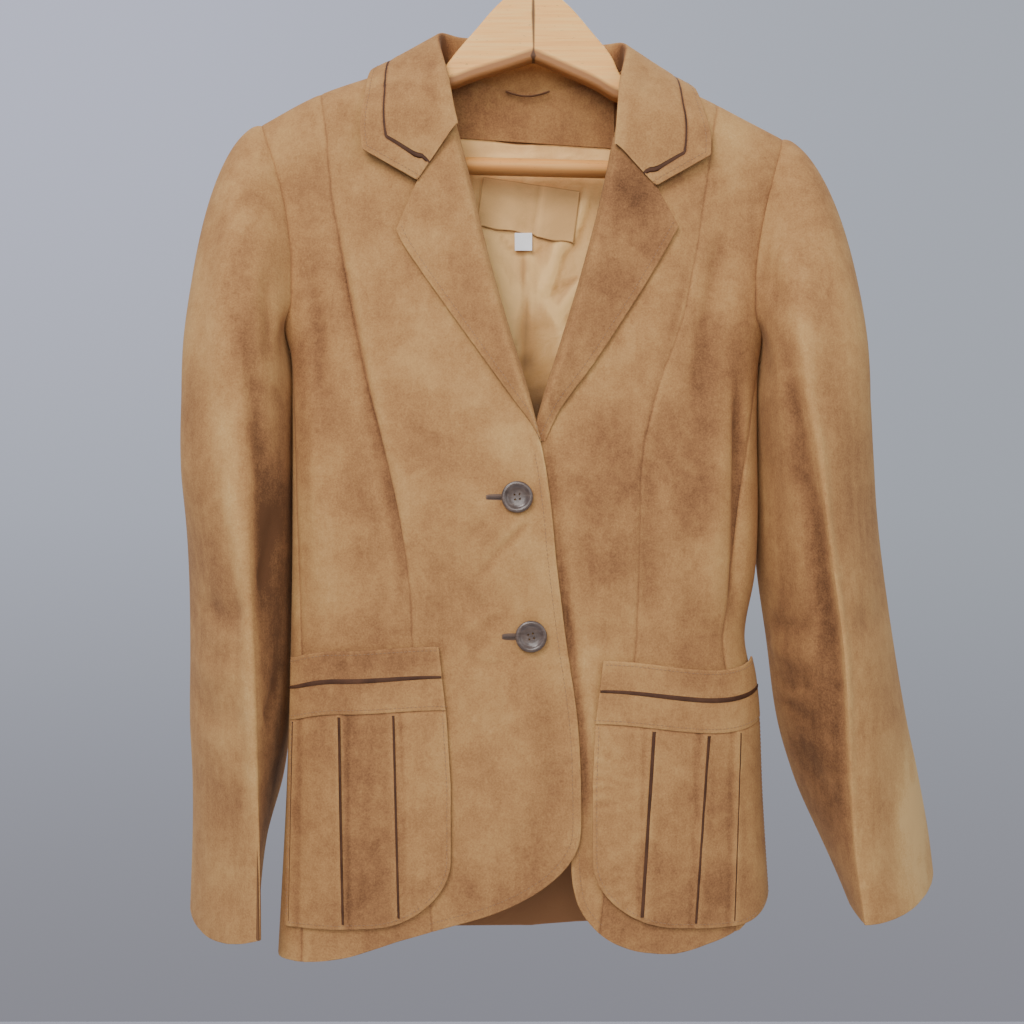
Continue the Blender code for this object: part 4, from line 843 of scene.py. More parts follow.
backTones = {
    left: [(-120, -240, 40, 60, 0.1), (-60, -400, 30, 80, -0.08), (-120, -700, 50, 60, 0.1)],
    right: [(100, -260, 40, 70, 0.08), (70, -550, 40, 60, -0.08), (120, -760, 40, 50, 0.08)]}
noShades = {left: {}, right: {}}
panels = {
    "Front": {"node": "front", "cut": frontCut, "place": frontPlace, "length": 0.69, "width": 0.11, "step": 0.0034,
              "finish": {"_l": "front_l", "_r": "front_r"}, "seams": ("start", "top"), "edges": ("end", "bottom"),
              "tones": frontTones, "shades": {left: frontShades, right: {**frontShades, **underEdge}},
              "flat": {left: (0.125, 0.685, 0.0735), right: (0.118, 0.685, 0.0505)}},
    "Side": {"node": "side_front", "cut": sideCut, "place": sidePlace, "length": 0.66, "width": 0.12, "step": 0.0034,
             "finish": {"_l": "side_l", "_r": "side_r"}, "seams": ("start", "end", "top"), "edges": ("bottom",),
             "tones": sideTones, "shades": {left: frontShades, right: frontShades},
             "flat": {left: (0.105, 0.680, 0.0485), right: (0.115, 0.675, 0.0495)}},
    "Back": {"node": "back", "cut": backCut, "place": sidePlace, "length": 0.68, "width": 0.22, "step": 0.0042,
             "finish": {"_l": "back", "_r": "back"}, "seams": ("start", "end", "top"), "edges": ("bottom",),
             "tones": backTones, "shades": noShades,
             "flat": {left: (0.262, 0.738, 0.1530), right: (0.266, 0.726, 0.1470)}}}
fronts = {}
for tag, side in sides.items():
    for name, panel in panels.items():
        place = panel["place"](side)
        rows, columns = stops(panel["length"], panel["step"]), stops(panel["width"], panel["step"])
        flat = between(*panel["cut"](side), rows, columns, place)
        base, lifted = skins(place, flat[..., 0], flat[..., 1])
        piece, outer, normal = clothPiece(
            "suede" + name + tag, base, lifted, cloth["suede"], finishes[panel["finish"][tag]], panel["seams"],
            panel["edges"], panel["tones"][side], shade=shadeAt(base[..., 0], base[..., 2], panel["shades"][side]))
        if name == "Front":
            fronts[side] = (outer, normal)
        dress(piece, panel["node"] + tag, panel["flat"][side], "hung", ["hanger_arm" + tag])
print("body panels made")


# sleeves: a front fold, an outer side, a back and an inner side on every level ring
sleeves = {"foldSharp": 1.4, "foldFrom": {left: 0.46, right: 0.38}, "tuck": 0.0006,
           "capOut": {left: 0.030, right: 0.028}, "capLength": 0.16, "armLength": 0.41,
           "cuffRise": {left: 0.006, right: 0.020}, "cuffDip": {left: 0.0095, right: 0.0030},
           "girth": 0.36, "seamFront": 13 / 22, "seamBack": 20 / 22,
           "upperFlat": {left: (0.248, 0.636, 0.1200), right: (0.246, 0.608, 0.1205)},
           "underFlat": {left: (0.162, 0.620, 0.0456), right: (0.156, 0.590, 0.0477)}}
sleeveNames = "z outerX outerY foldX foldY innerX innerY backX backY"
sleeveRows = {
    left: Profile(sleeveNames, (-405, -273, -4, -217, -74, -186, -10, -228, 38),
        (-450, -274.2, -2, -214, -78, -186.2, -14, -229, 40),
        (-530, -272.2, 0, -208.5, -81, -186.4, -18, -227, 41),
        (-600, -271.2, 0, -205, -81, -187.2, -20, -225, 40),
        (-660, -271.5, 0, -203.5, -80, -189.5, -20, -227, 36),
        (-705, -269, -2, -202.5, -79, -197.5, 0, -233, 30),
        (-750, -268, -6, -201.5, -78, -205.5, -34, -245, 22),
        (-812, -269, -10, -201, -78, -208.5, -58, -256, 10)),
    right: Profile(sleeveNames, (-410, 264, -4, 202.5, -74, 175.8, -8, 218, 38),
        (-450, 268, -2, 208, -78, 176.2, -4, 222, 40), (-530, 276.5, 0, 218, -81, 177.5, 0, 229, 41),
        (-600, 286.2, 0, 227, -81, 186.5, 0, 237, 40), (-660, 297, 2, 231, -80, 194.5, 0, 249, 38),
        (-705, 307, 4, 234, -80, 207, -2, 263, 34), (-750, 315, 8, 237, -80, 222, -18, 280, 30),
        (-800, 321, 10, 243, -81, 239.5, -52, 298, 24))}
# the same kinds of table, on (thousandths of the way round, height)
sleeveFolds = {
    left: {
        "valley": ([(180, -290), (232, -338), (298, -398), (314, -437), (328, -475), (332, -518), (334, -575),
            (334, -640)], 17, -3.6),
        "ridge": ([(215, -430), (226, -500), (226, -564), (232, -675), (240, -800)], 8, 2.6),
        "second": ([(250, -300), (320, -350), (380, -400)], 8, -2.6),
        "upper": ([(100, -250), (130, -310), (160, -400)], 14, -2.4),
        "outer": ([(90, -300), (80, -420), (110, -520)], 18, 2.4),
        "elbow": ([(100, -560), (170, -575), (240, -560)], 10, -2.6),
        "elbowLow": ([(60, -600), (140, -620), (220, -606)], 11, 1.8),
        "elbowDip": ([(80, -640), (150, -652), (220, -640)], 11, -1.8),
        "inner": ([(400, -480), (360, -530), (310, -560)], 9, -3),
        "innerLow": ([(410, -600), (360, -640), (310, -650)], 9, -2.6),
        "low": ([(150, -680), (165, -760), (155, -810)], 15, -2)},
    right: {
        "valley": ([(300, -350), (318, -415), (306, -511), (298, -600), (300, -700)], 12, -3.4),
        "ridge": ([(250, -318), (250, -395), (240, -460), (246, -516), (244, -600), (254, -710), (262, -790)],
            6.5, 3),
        "upper": ([(170, -250), (180, -340), (190, -430)], 15, -2.8),
        "head": ([(300, -240), (285, -300), (300, -350)], 9, -2.2),
        "outer": ([(90, -300), (85, -420), (100, -520)], 18, 2.2),
        "elbow": ([(470, -578), (390, -584), (320, -580)], 4.5, -1.2),
        "elbowBump": ([(480, -598), (400, -606), (320, -604)], 9, 2.6),
        "elbowTwo": ([(480, -624), (400, -630), (340, -626)], 4, -1.2),
        "elbowThree": ([(450, -642), (390, -650), (330, -654)], 5, -1.2),
        "inner": ([(430, -660), (370, -700), (310, -720)], 12, -1.4),
        "low": ([(130, -660), (150, -740), (140, -800)], 16, -2.4),
        "outerElbow": ([(60, -560), (130, -580), (200, -570)], 13, -2)}}
# painted shade in the valleys, on the elbow creases and on the inner face that turns away from the light, and painted
# light on the ridges
sleeveShades = {
    left: {
        "valley": ([(170, -270), (232, -338), (298, -398), (314, -437), (328, -475), (332, -518), (334, -575),
            (334, -660)], 19, -0.26),
        "inner": ([(400, -380), (410, -480), (400, -600), (380, -700), (360, -840)], 30, -0.44),
        "ridge": ([(130, -330), (200, -420), (222, -480), (220, -564), (232, -675), (240, -820)], 10, 0.14),
        "stripe": ([(110, -300), (130, -380), (140, -460)], 12, -0.1),
        "outer": ([(40, -420), (40, -560), (50, -700)], 16, -0.08)},
    right: {
        "valley": ([(300, -330), (326, -415), (308, -511), (300, -600), (300, -700), (300, -860)], 13, -0.23),
        "inner": ([(400, -500), (380, -620), (370, -720), (360, -840)], 30, -0.25),
        "ridge": ([(245, -318), (245, -395), (232, -460), (238, -516), (236, -600), (246, -710), (258, -820)],
            10, 0.14),
        "head": ([(320, -250), (330, -320), (350, -380)], 12, -0.12),
        "elbow": ([(470, -590), (390, -596), (320, -594)], 6, 0.12),
        "elbowFine": ([(480, -640), (400, -646), (340, -640)], 3, -0.05),
        "orange": ([(440, -440), (430, -500), (420, -560)], 14, 0.05),
        "stain": ([(54, -679), (82, -712)], 5, -0.16)}}


def quarterArc(start, end, corner, part, power):
    a, b = np.cos(part * math.pi / 2) ** power, np.sin(part * math.pi / 2) ** power
    centre = start + end - corner
    return centre + (start - centre) * a[..., None] + (end - centre) * b[..., None]


def sleeveRing(side, z, around, out=0.0):
    row = sleeveRows[side]
    z, around = np.broadcast_arrays(z, np.mod(around, 1.0))
    outer, fold, inner, back = [vector(row.at(z, key + "X"), row.at(z, key + "Y"), 0.0)
                                for key in ("outer", "fold", "inner", "back")]
    outer[..., 0] += side * out
    inner[..., 0] -= side * out
    fold[..., 1] -= out
    back[..., 1] += out
    stopsRound = (outer, fold, inner, back, outer)
    point = np.zeros(outer.shape)
    for quarter in range(4):
        start, end = stopsRound[quarter], stopsRound[quarter + 1]
        across, along = (start, end) if quarter in (0, 2) else (end, start)
        corner = vector(across[..., 0], along[..., 1], 0.0)
        sharper = ease(-z, sleeves["foldFrom"][side], sleeves["foldFrom"][side] + 0.12)
        power = mix(1.0, sleeves["foldSharp"], sharper) if quarter < 2 else 1.0
        arc = quarterArc(start, end, corner, np.clip(around * 4 - quarter, 0, 1), power)
        here = (around * 4 >= quarter) & (around * 4 <= quarter + 1)
        point = np.where(here[..., None], arc, point)
    cuff = row.rows[0, 0]
    low = ease(-z, -cuff - 0.10, -cuff)
    rise = sleeves["cuffRise"][side] * low * (point[..., 1] - fold[..., 1]) / (back[..., 1] - fold[..., 1])
    dip = sleeves["cuffDip"][side] * low * np.sin(np.clip(around * 4, 0, 1) * math.pi) ** 1.5
    return vector(point[..., 0], point[..., 1], z + rise - dip)


def armholeLoop(side, around):
    around = np.mod(around, 1.0)
    front = around <= 0.5
    v = np.where(front, around * 2, (1 - around) * 2)
    turn, z = armholePoint(side, v, front, sleeves["tuck"])
    point = bodyPoint(side * turn, z, -sleeves["tuck"])
    shoulder = vector(tip[side] - side * sleeves["tuck"], 0.0, ridge.at(tip[side], "z") - sleeves["tuck"])
    return mix(shoulder, point, ease(v, 0.0, 0.02)[..., None])


def sleevePoint(side, along, around, out=0.0):
    # along runs from 0 at the armhole to 1 at the top ring, and to 2 at the cuff
    along, around = np.broadcast_arrays(along, around)
    top, cuff = sleeveRows[side].rows[-1, 0], sleeveRows[side].rows[0, 0]
    start, end = armholeLoop(side, around), sleeveRing(side, np.full(around.shape, top), around)
    height = (np.cos(around * 2 * math.pi) + 1) / 2
    reach = np.linalg.norm(end - start, axis=-1)
    leave = vector(side * mix(0.003, sleeves["capOut"][side], height) * np.minimum(reach / 0.08, 1.0),
                   0.35 * (end[..., 1] - start[..., 1]), 0.0)
    arrive = vector(0.0, 0.0, 0.55 * reach * mix(0.5, 1.0, height))
    t = np.clip(along, 0, 1)[..., None]
    cap = (start * (1 - t) ** 3 + (start + leave) * 3 * (1 - t) ** 2 * t
           + (end + arrive) * 3 * (1 - t) * t * t + end * t ** 3)
    level = mix(top, cuff, np.clip(along - 1, 0, 1))
    ring = sleeveRing(side, level, around)
    aheadLow = sleeveRing(side, level, around, 0.01) - ring
    hub = (armholeLoop(side, 0.0) + armholeLoop(side, 0.5)) / 2
    radial = unit(vector(0.0, (start[..., 1] - hub[1]) * 2.5, start[..., 2] - hub[2]))
    ahead = unit(mix(radial, unit(aheadLow), t))
    return np.where((along <= 1)[..., None], cap, ring) + ahead * np.asarray(out)[..., None]


def capPuckers(around, along):
    # little gathers where the head of the sleeve is eased into the armhole
    near = bell(along - 0.05, 0.07) * ease(np.cos(around * 2 * math.pi), 0.0, 0.5)
    return near * 0.0006 * np.sin(around * 130) * (0.6 + 0.4 * np.sin(around * 47 + 1))


sleeveTones = {
    left: [(-235, -215, 24, 30, 0.08), (-250, -360, 16, 50, 0.14), (-240, -560, 30, 50, -0.03),
        (-262, -700, 14, 50, -0.02), (-230, -780, 40, 60, 0.08)],
    right: [(215, -240, 22, 40, 0), (245, -330, 16, 60, 0.05), (262, -470, 20, 50, -0.06),
        (275, -600, 20, 50, -0.04), (300, -740, 30, 90, 0.56)]}
for tag, side in sides.items():
    cap, arm = stops(sleeves["capLength"], 0.0030, True, False), stops(sleeves["armLength"], 0.0036, False, True)
    along = np.concatenate([cap, 1 + arm[1:]])
    for name, node, low, high, flat in (
            ("suedeSleeveUpper", "sleeve_upper", sleeves["seamBack"] - 1, sleeves["seamFront"], "upperFlat"),
            ("suedeSleeveUnder", "sleeve_under", sleeves["seamFront"], sleeves["seamBack"], "underFlat")):
        shares = mix(low + 0.0001, high - 0.0001, stops(sleeves["girth"] * (high - low), 0.0034))
        v, u = along[:, None], shares[None, :]
        base, lifted = skins(partial(sleevePoint, side), v, u)
        x = np.broadcast_to(np.mod(u + 0.3, 1.0) - 0.3, base.shape[:2]) * sleeves["girth"]
        folds, shades = ({key: ([(a * sleeves["girth"], b) for a, b in path], *rest)
                          for key, (path, *rest) in table[side].items()} for table in (sleeveFolds, sleeveShades))
        lift = foldHeight(x, base[..., 2], folds) + capPuckers(u, v)
        tapered = lift * ease(np.broadcast_to(v, base.shape[:2]), 0.0, 0.12)
        piece, outer, normal = clothPiece(name + tag, base, lifted, cloth["suede"],
                                          finishes["sleeve" + tag],
                                          ("start", "end", "top"), ("bottom",), sleeveTones[side], tapered,
                                          shade=shadeAt(x, base[..., 2], shades))
        dress(piece, node + tag, sleeves[flat][side], "hung", ["hanger_arm" + tag])
print("sleeves made")


# lapels, folded back along the roll line
lapelCut = {
    left: Profile("v x z", (0, 0.0056, -0.444), (0.05, -0.003, -0.429), (0.12, -0.014, -0.414),
        (0.4, -0.0474, -0.3663), (0.7, -0.0777, -0.3226), (0.9, -0.0968, -0.2939), (1, -0.103, -0.2815),
        unit=1),
    right: Profile("v x z", (0, 0.009, -0.444), (0.06, 0.0136, -0.433), (0.15, 0.0218, -0.417),
        (0.4, 0.0458, -0.3836), (0.7, 0.0782, -0.3326), (0.9, 0.099, -0.296), (1, 0.1085, -0.279), unit=1)}
lapelRoll = Profile(
    "column share topIn topOut lowIn lowOut", (0, 0, 0.0027, -0.002, 0.0005, -0.002),
    (1, 0, 0.0031, 0.0024, 0.0006, 0.001), (2, 0, 0.001, 0.0062, 0, 0.0036), (3, 0.12, 0, 0.0078, 0, 0.0054),
    (4, 0.45, 0, 0.0066, 0, 0.0046), (5, 0.8, 0, 0.0046, 0, 0.0028), (6, 1, 0, 0.0034, 0, 0.0017), unit=1)
lapels = {"gorge": {left: -0.1965, right: -0.2070}, "low": -0.4440,
          "notchBend": 0.0037, "flat": {left: (0.106, 0.262, 0.0104), right: (0.098, 0.252, 0.0105)}}
lapelTones = {
    left: [(-62, -230, 20, 30, -0.1), (-75, -290, 20, 20, 0.04), (-40, -340, 20, 30, -0.02),
        (-24, -390, 12, 30, -0.08)],
    right: [(70, -250, 24, 40, -0.24), (86, -265, 12, 20, -0.06), (60, -320, 20, 30, -0.08),
        (40, -370, 14, 30, 0.02)]}
lapelGrids = {}


def lapelPoint(side, level, column, skin, out=0.0):
    key, gorge, low = sideName(side), lapels["gorge"][side], lapels["low"]
    v = (level - low) / (gorge - low)
    share = np.clip(lapelRoll.at(column, "share"), 0, 1)
    height = mix(level, lapelCut[side].at(v, "z"), share)
    height = height + lapels["notchBend"] * np.sin(share * math.pi) * ease(v, 0.8, 1.0)
    x = mix(frontEdge.at(level, key), lapelCut[side].at(v, "x"), share)
    thin = mix(0.25, 1.0, ease(v, 0.0, 0.22))
    x = x - side * lapelRoll.at(column, skin + "In") * thin
    return frontPoint(x, height, lapelRoll.at(column, skin + "Out") * thin + out, side)


for tag, side in sides.items():
    level = mix(lapels["low"], lapels["gorge"][side], stops(0.24, 0.0028))[:, None]
    columns = np.concatenate([np.linspace(0, 3, 19)[:-1], 3 + 3 * stops(0.085, 0.0028, False, True)])[None, :]
    level, columns = np.broadcast_arrays(level, columns)
    base, lifted = (lapelPoint(side, level, columns, "top", out) for out in (0.0, 0.001))
    under = lapelPoint(side, level, columns, "low")
    piece, outer, normal = clothPiece("suedeLapel" + tag, base, lifted, cloth["facing"],
                                      finishes["lapel" + tag],
                                      (), ("end", "top"), lapelTones[side], under=under)
    lapelGrids[side] = (outer, normal)
    dress(piece, "lapel" + tag, lapels["flat"][side], "folded", ["suedeFront" + tag])
print("lapels made")


# collar: s runs from the gorge round to the middle of the back, t from the stand to the free edge
collarCut = Profile(
    "s rollX rollY rollZ midX midY midZ edgeX edgeY edgeZ lean rightX rightZ", (0, 0.0588, -0.0412, -0.2005,
    0.0885, -0.04, -0.2432, 0.131, -0.0372, -0.2185, 0, 0.0055, -0.0045), (0.12, 0.0625, -0.0368, -0.183, 0.096,
    -0.0378, -0.201, 0.133, -0.0338, -0.202, 0.005, 0.004, -0.004), (0.26, 0.067, -0.0275, -0.158, 0.099,
    -0.0305, -0.174, 0.1315, -0.0275, -0.183, 0.025, 0.002, -0.002), (0.42, 0.0745, -0.002, -0.123, 0.1, -0.001,
    -0.137, 0.1255, 0, -0.1515, 0.055, 0, 0), (0.6, 0.057, 0.018, -0.1165, 0.078, 0.0255, -0.138, 0.1, 0.0285,
    -0.172, 0.05, 0, 0), (0.8, 0.029, 0.0255, -0.115, 0.04, 0.0325, -0.143, 0.051, 0.031, -0.186, 0.05, 0, 0),
    (1, 0, 0.0275, -0.1145, 0, 0.0345, -0.145, 0, 0.0315, -0.189, 0.05, 0, 0), unit=1)
# the line of the piping and the free edge, as pairs of (s, t), from the notch round to the back
pipingPath = {
    left: ((0, 0, 0.55), (1, 0.034, 0.60), (2, 0.057, 0.68), (3, 0.092, 0.84), (10, 1, 0.84)),
    right: ((0, 0, 0.55), (1, 0.020, 0.60), (2, 0.038, 0.68), (3, 0.060, 0.84), (10, 1, 0.84))}
borderPath = ((0, 0.000, 0.680), (1, 0.000, 0.790), (2, 0.000, 0.900), (2.8, 0.000, 0.993), (3.0, 0.006, 1.0),
              (3.2, 0.018, 1.0), (4, 0.080, 1.0), (10, 1.000, 1.0))
collarSizes = {"trimGap": 0.0070, "trimAt": 0.84, "gorgeTrim": 0.55, "flat": (0.440, 0.098, 0.0275),
               "borderFlat": (0.560, 0.043, 0.0098), "piping": 0.0034,
               "rollDrop": 0.0110, "endFront": 0.42}  # endFront: where s leaves the lapel for the neck seam
collarTones = [(-110, -180, 20, 30, 0.06), (100, -160, 20, 40, 0.14), (-78, -160, 9, 34, -0.14),
    (76, -190, 8, 30, -0.12)]


def collarBase(side, s):
    whole = collarSizes["endFront"]
    front = s < whole
    key = np.where(front, s, whole)
    z = mix(lapels["gorge"][side] + 0.0026, ridge.at(side * neck["half"], "z") + 0.001, key / whole)
    x = frontEdge.at(z, sideName(side)) - side * 0.0024
    forward = frontPoint(x, z, -0.0012 + 0.002 * key / whole, side)
    reach = neck["half"] * (1 - (s - whole) / (1 - whole)) - 0.0018 * (1 - s) / (1 - whole)
    x = side * np.clip(reach, 0.00001, neck["half"])
    z = neckSeam(x)
    behind = bodyPoint(backTurn(x, z), z, -0.0002) + np.array([0, 0, 0.0006])
    return np.where(front[..., None], forward, behind)


def collarPoint(side, s, t):
    s, t = np.broadcast_arrays(np.asarray(s, float), np.asarray(t, float))
    base = collarBase(side, s)
    roll, mid, edge = [vector(side * collarCut.at(s, key + "X"), collarCut.at(s, key + "Y"),
                              collarCut.at(s, key + "Z")) for key in ("roll", "mid", "edge")]
    for point in (roll, mid, edge):
        point[..., 2] -= collarCut.at(s, "lean") * point[..., 0]
        if side == right:
            point[..., 0] += collarCut.at(s, "rightX")
            point[..., 2] += collarCut.at(s, "rightZ")
    if side == right:
        roll[..., 2] -= collarSizes["rollDrop"] * bell(s, 0.10)
    away = unit(mid - base)
    flat = unit(away * np.array([1, 1, 0]))
    down = np.minimum(s / 0.3, 1.0)[..., None] * np.array([0, 0, 0.004])
    over = mix(roll, mid, 0.16) + vector(0.0, np.where(s < 0.3, -0.001, 0.0), 0.0005)
    keys = np.array([0.0, 0.20, 0.27, 0.34, 0.68, 1.0])
    places = np.stack([base, roll - flat * 0.0022 - down, roll, over, mid, edge])
    i = np.clip(np.searchsorted(keys, t, "right") - 1, 0, 4)
    pick = lambda j: np.take_along_axis(places, np.clip(j, 0, 5)[None, ..., None], 0)[0]
    before, after = np.maximum(i - 1, 0), np.minimum(i + 2, 5)
    span = (keys[i + 1] - keys[i])
    part = ((t - keys[i]) / span)[..., None]
    slopeA = (pick(i + 1) - pick(before)) / (keys[i + 1] - keys[before])[..., None] * span[..., None]
    slopeB = (pick(after) - pick(i)) / (keys[after] - keys[i])[..., None] * span[..., None]
    a, b = pick(i), pick(i + 1)
    curve = (a + slopeA * part * (1 - part) ** 2 + (b - a) * part * part * (3 - 2 * part)
             - slopeB * part * part * (1 - part))
    return mix(curve, a + (b - a) * part, (bell(s, 0.06) * (t > 0.27))[..., None])


def pathAt(path, q):
    # straight runs between the rows of a path
    return [np.interp(q, [row[0] for row in path], [row[i] for row in path]) for i in (1, 2)]


def joined(halves):
    # one grid from the left notch round the back to the right one
    return np.concatenate([halves[left], halves[right][-2::-1]])


def bothSides(pairs):
    return joined({side: collarPoint(side, *pairs[side]) for side in pairs})


def upOf(grid):
    # the side of the collar that shows
    return unit(np.cross(np.gradient(grid, axis=0), np.gradient(grid, axis=1)))


t = stops(1.0, 0.021, True, False)
t = np.concatenate([t[t < 0.5] * 1.0, np.linspace(0.5, collarSizes["trimAt"] - 0.03, 20),
                    collarSizes["trimAt"] - collarSizes["trimGap"] - np.array([0.02, 0.012, 0.006, 0.003, 0.0])])
share = np.linspace(0, 1, 64)[:, None]
pairs, rollShade = {}, {}
for side in (left, right):
    corner = [row[1:] for row in pipingPath[side][:4]]
    start = np.interp(t, [row[1] for row in corner], [row[0] for row in corner]) + collarSizes["trimGap"] * 0.8
    start = np.where(t > collarSizes["gorgeTrim"], start, 0.0)[None, :]
    pairs[side] = np.broadcast_arrays(start + (1 - start) * share, t[None, :])
    # painted shade inside the collar where it rolls over beside the neck
    rollShade[side] = -0.55 * bell(pairs[side][0] - collarSizes["endFront"], 0.075) * ease(0.30 - t, 0.0, 0.08)
base = bothSides(pairs)
piece, outer, normal = clothPiece("suedeCollar", base, base + upOf(base) * 0.001, cloth["facing"],
                                  finishes["collar"], ("end",), ("top", "bottom"), collarTones,
                                  shade=joined(rollShade))
dress(piece, "collar", collarSizes["flat"], "folded", ["suedeBack_l", "suedeBack_r"])

q = np.array(sorted(set(np.linspace(0, 3, 50)) | set(np.linspace(3, 4, 24)) | set(np.linspace(4, 10, 90))))[:, None]
w = stops(0.022, 0.0022)[None, :]
edgeS, edgeT = pathAt(borderPath, q)
piped = {side: pathAt(pipingPath[side], q) for side in (left, right)}
low = np.where(q < 3, collarSizes["trimGap"] * 0.8, 0.0) * ease(q, 0.0, 0.6)
gap = collarSizes["trimGap"] * ease(q, -0.6, 0.6)
base = bothSides({side: (mix(trimS - low, edgeS, w), mix(trimT + gap, edgeT, w))
                  for side, (trimS, trimT) in piped.items()})
piece, borderOuter, borderNormal = clothPiece("suedeCollarEdge", base, base + upOf(base) * 0.001,
                                              cloth["facing"], finishes["collar"], ("start",),
                                              ("end", "top", "bottom"), collarTones)
dress(piece, "collar_border", collarSizes["borderFlat"], "folded", ["suedeCollar"])


piece = ribbonPiece("collarPiping", bothSides(piped)[:, 0], borderNormal[:, 4], collarSizes["piping"],
                    -0.0016, -0.0005, finishes["trim"], 0.0)
dress(piece, "collar_piping", on="suedeCollar")
print("collar made")


# patch pockets with a band across the top
pockets = {"clear": 0.0016, "wall": 0.0018, "band": 0.0470, "bandTrim": 0.0225, "foot": -0.7550,
           "corner": (0.0600, 0.0470), "slope": 0.06, "middle": -0.7300, "trimWidth": 0.0036,
           "trimThick": 0.0002, "rest": 0.0005, "step": 0.0030, "rise": {left: 0.0, right: 0.0140},
           "outerTurn": 0.836, "outerX": (0.1805, 0.1840), "outerZ": (0.62, 0.80), "seamZ": -0.60, "seamLong": 0.22,
           "flat": {left: (0.132, 0.162, 0.0198), right: (0.167, 0.152, 0.0227)},
           "bandFlat": {left: (0.125, 0.047, 0.0058), right: (0.155, 0.047, 0.0070)}}
pocketCut = {
    left: {"inner": ((-0.840, 0.0600), (-0.700, 0.0600), (-0.650, 0.0632), (-0.597, 0.0690)),
           "top": (-0.5970, -0.6010, -0.6070)},
    right: {"inner": ((-0.840, 0.0428), (-0.700, 0.0428), (-0.653, 0.0450), (-0.607, 0.0507)),
            "top": (-0.6075, -0.6160, -0.6090)}}
# strips down each pocket: distance from the middle at the top and at the bottom, width, and how much
# lighter the panel beyond it is
pocketTrims = {left: ((0.1430, 0.1392, 0.0044, 0.12), (0.1025, 0.0980, 0.0028, -0.15), (0.1780, 0.1800, 0.0012, 0.0)),
               right: ((0.0885, 0.0788, 0.0046, -0.08), (0.1290, 0.1185, 0.0034, -0.04),
                       (0.1540, 0.1480, 0.0015, 0.05))}
# the lowest wide patch on each side is painted shade just under the band
pocketTones = {
    left: [(-80, -720, 24, 130, 0.08), (-160, -790, 18, 30, 0.06), (-120, -610, 60, 12, -0.1),
        (-120, -646, 60, 12, -0.04)],
    right: [(66, -730, 30, 110, 0.08), (110, -730, 30, 110, 0.05), (110, -624, 60, 12, -0.08),
        (110, -655, 60, 12, -0.05)]}


def pocketTop(side, u):
    inner, middle, outer = pocketCut[side]["top"]
    return np.where(u < 0.5, mix(inner, middle, ease(u, 0.0, 0.5)), mix(middle, outer, ease(u, 0.5, 1.0)))


def pocketInner(side, z):
    zs, xs = zip(*pocketCut[side]["inner"])
    return side * np.interp(z, zs, xs)


def pocketOuter(side, z):
    # the outer end: a straight seam on the left pocket, a line round the body on the right one
    z = np.asarray(z, float)
    if side == right:
        return np.full(z.shape, pockets["outerTurn"])
    return np.abs(turnOf(-mix(*pockets["outerX"], ease(-z, *pockets["outerZ"])), z))


def pocketTurn(side, u, z):
    return mix(np.abs(turnOf(pocketInner(side, z), z)), pocketOuter(side, z), u)


def pocketPlace(side):
    return lambda turn, z, out=0.0: bodyPoint(side * turn, z, out + pockets["clear"])


def pocketFoot(side, u):
    # the lower edge, rounded at the front corner
    across, down = pockets["corner"]
    foot = pockets["foot"]
    reach = np.abs(plainPoint(side * pocketTurn(side, u, foot), foot)[..., 0] - pocketInner(side, foot))
    drop = down * np.sqrt(1 - (1 - np.minimum(reach / across, 1.0)) ** 2)
    return reach, foot - drop - pockets["slope"] * np.minimum(reach, 0.09) + pockets["rise"][side] * ease(u, 0.55, 1.0)


def bagCut(side):
    # front edge round half the corner, outer end, top under the band, and the foot
    across, down = pockets["corner"]
    foot, slope = pockets["foot"], pockets["slope"]
    u = np.linspace(0, 1, 400)
    high = pocketTop(side, u) - pockets["band"] - 0.0002
    z = np.linspace(high[0], foot, 100)
    edge = np.stack([pocketTurn(side, 0.0, z), z], -1)
    innerX = pocketInner(side, foot)
    reach, low = pocketFoot(side, u)
    angle = np.linspace(0, math.pi / 4, 30)[1:]
    near = across * (1 - np.cos(angle))
    z = foot - down * np.sin(angle) - slope * near
    arc = np.stack([np.abs(turnOf(innerX + side * near, np.full(29, foot))), z], -1)
    kept = reach > near[-1]
    bottom = np.concatenate([arc[-1:], np.stack([pocketTurn(side, u, foot), low], -1)[kept]])
    z = np.linspace(high[-1], bottom[-1, 1], 60)
    outer = np.stack([pocketOuter(side, z), z], -1)
    return np.concatenate([edge, arc]), outer, np.stack([pocketTurn(side, u, high), high], -1), bottom


def bandCut(side):
    u = np.linspace(0, 1, 200)
    high = pocketTop(side, u)
    low = high - pockets["band"]
    rows = np.linspace(0, 1, 30)
    start = np.stack([pocketTurn(side, 0.0, mix(high[0], low[0], rows)), mix(high[0], low[0], rows)], -1)
    end = mix(high[-1], low[-1], rows)
    end = np.stack([pocketOuter(side, end), end], -1)
    return (start, end, np.stack([pocketTurn(side, u, high), high], -1),
            np.stack([pocketTurn(side, u, low), low], -1))


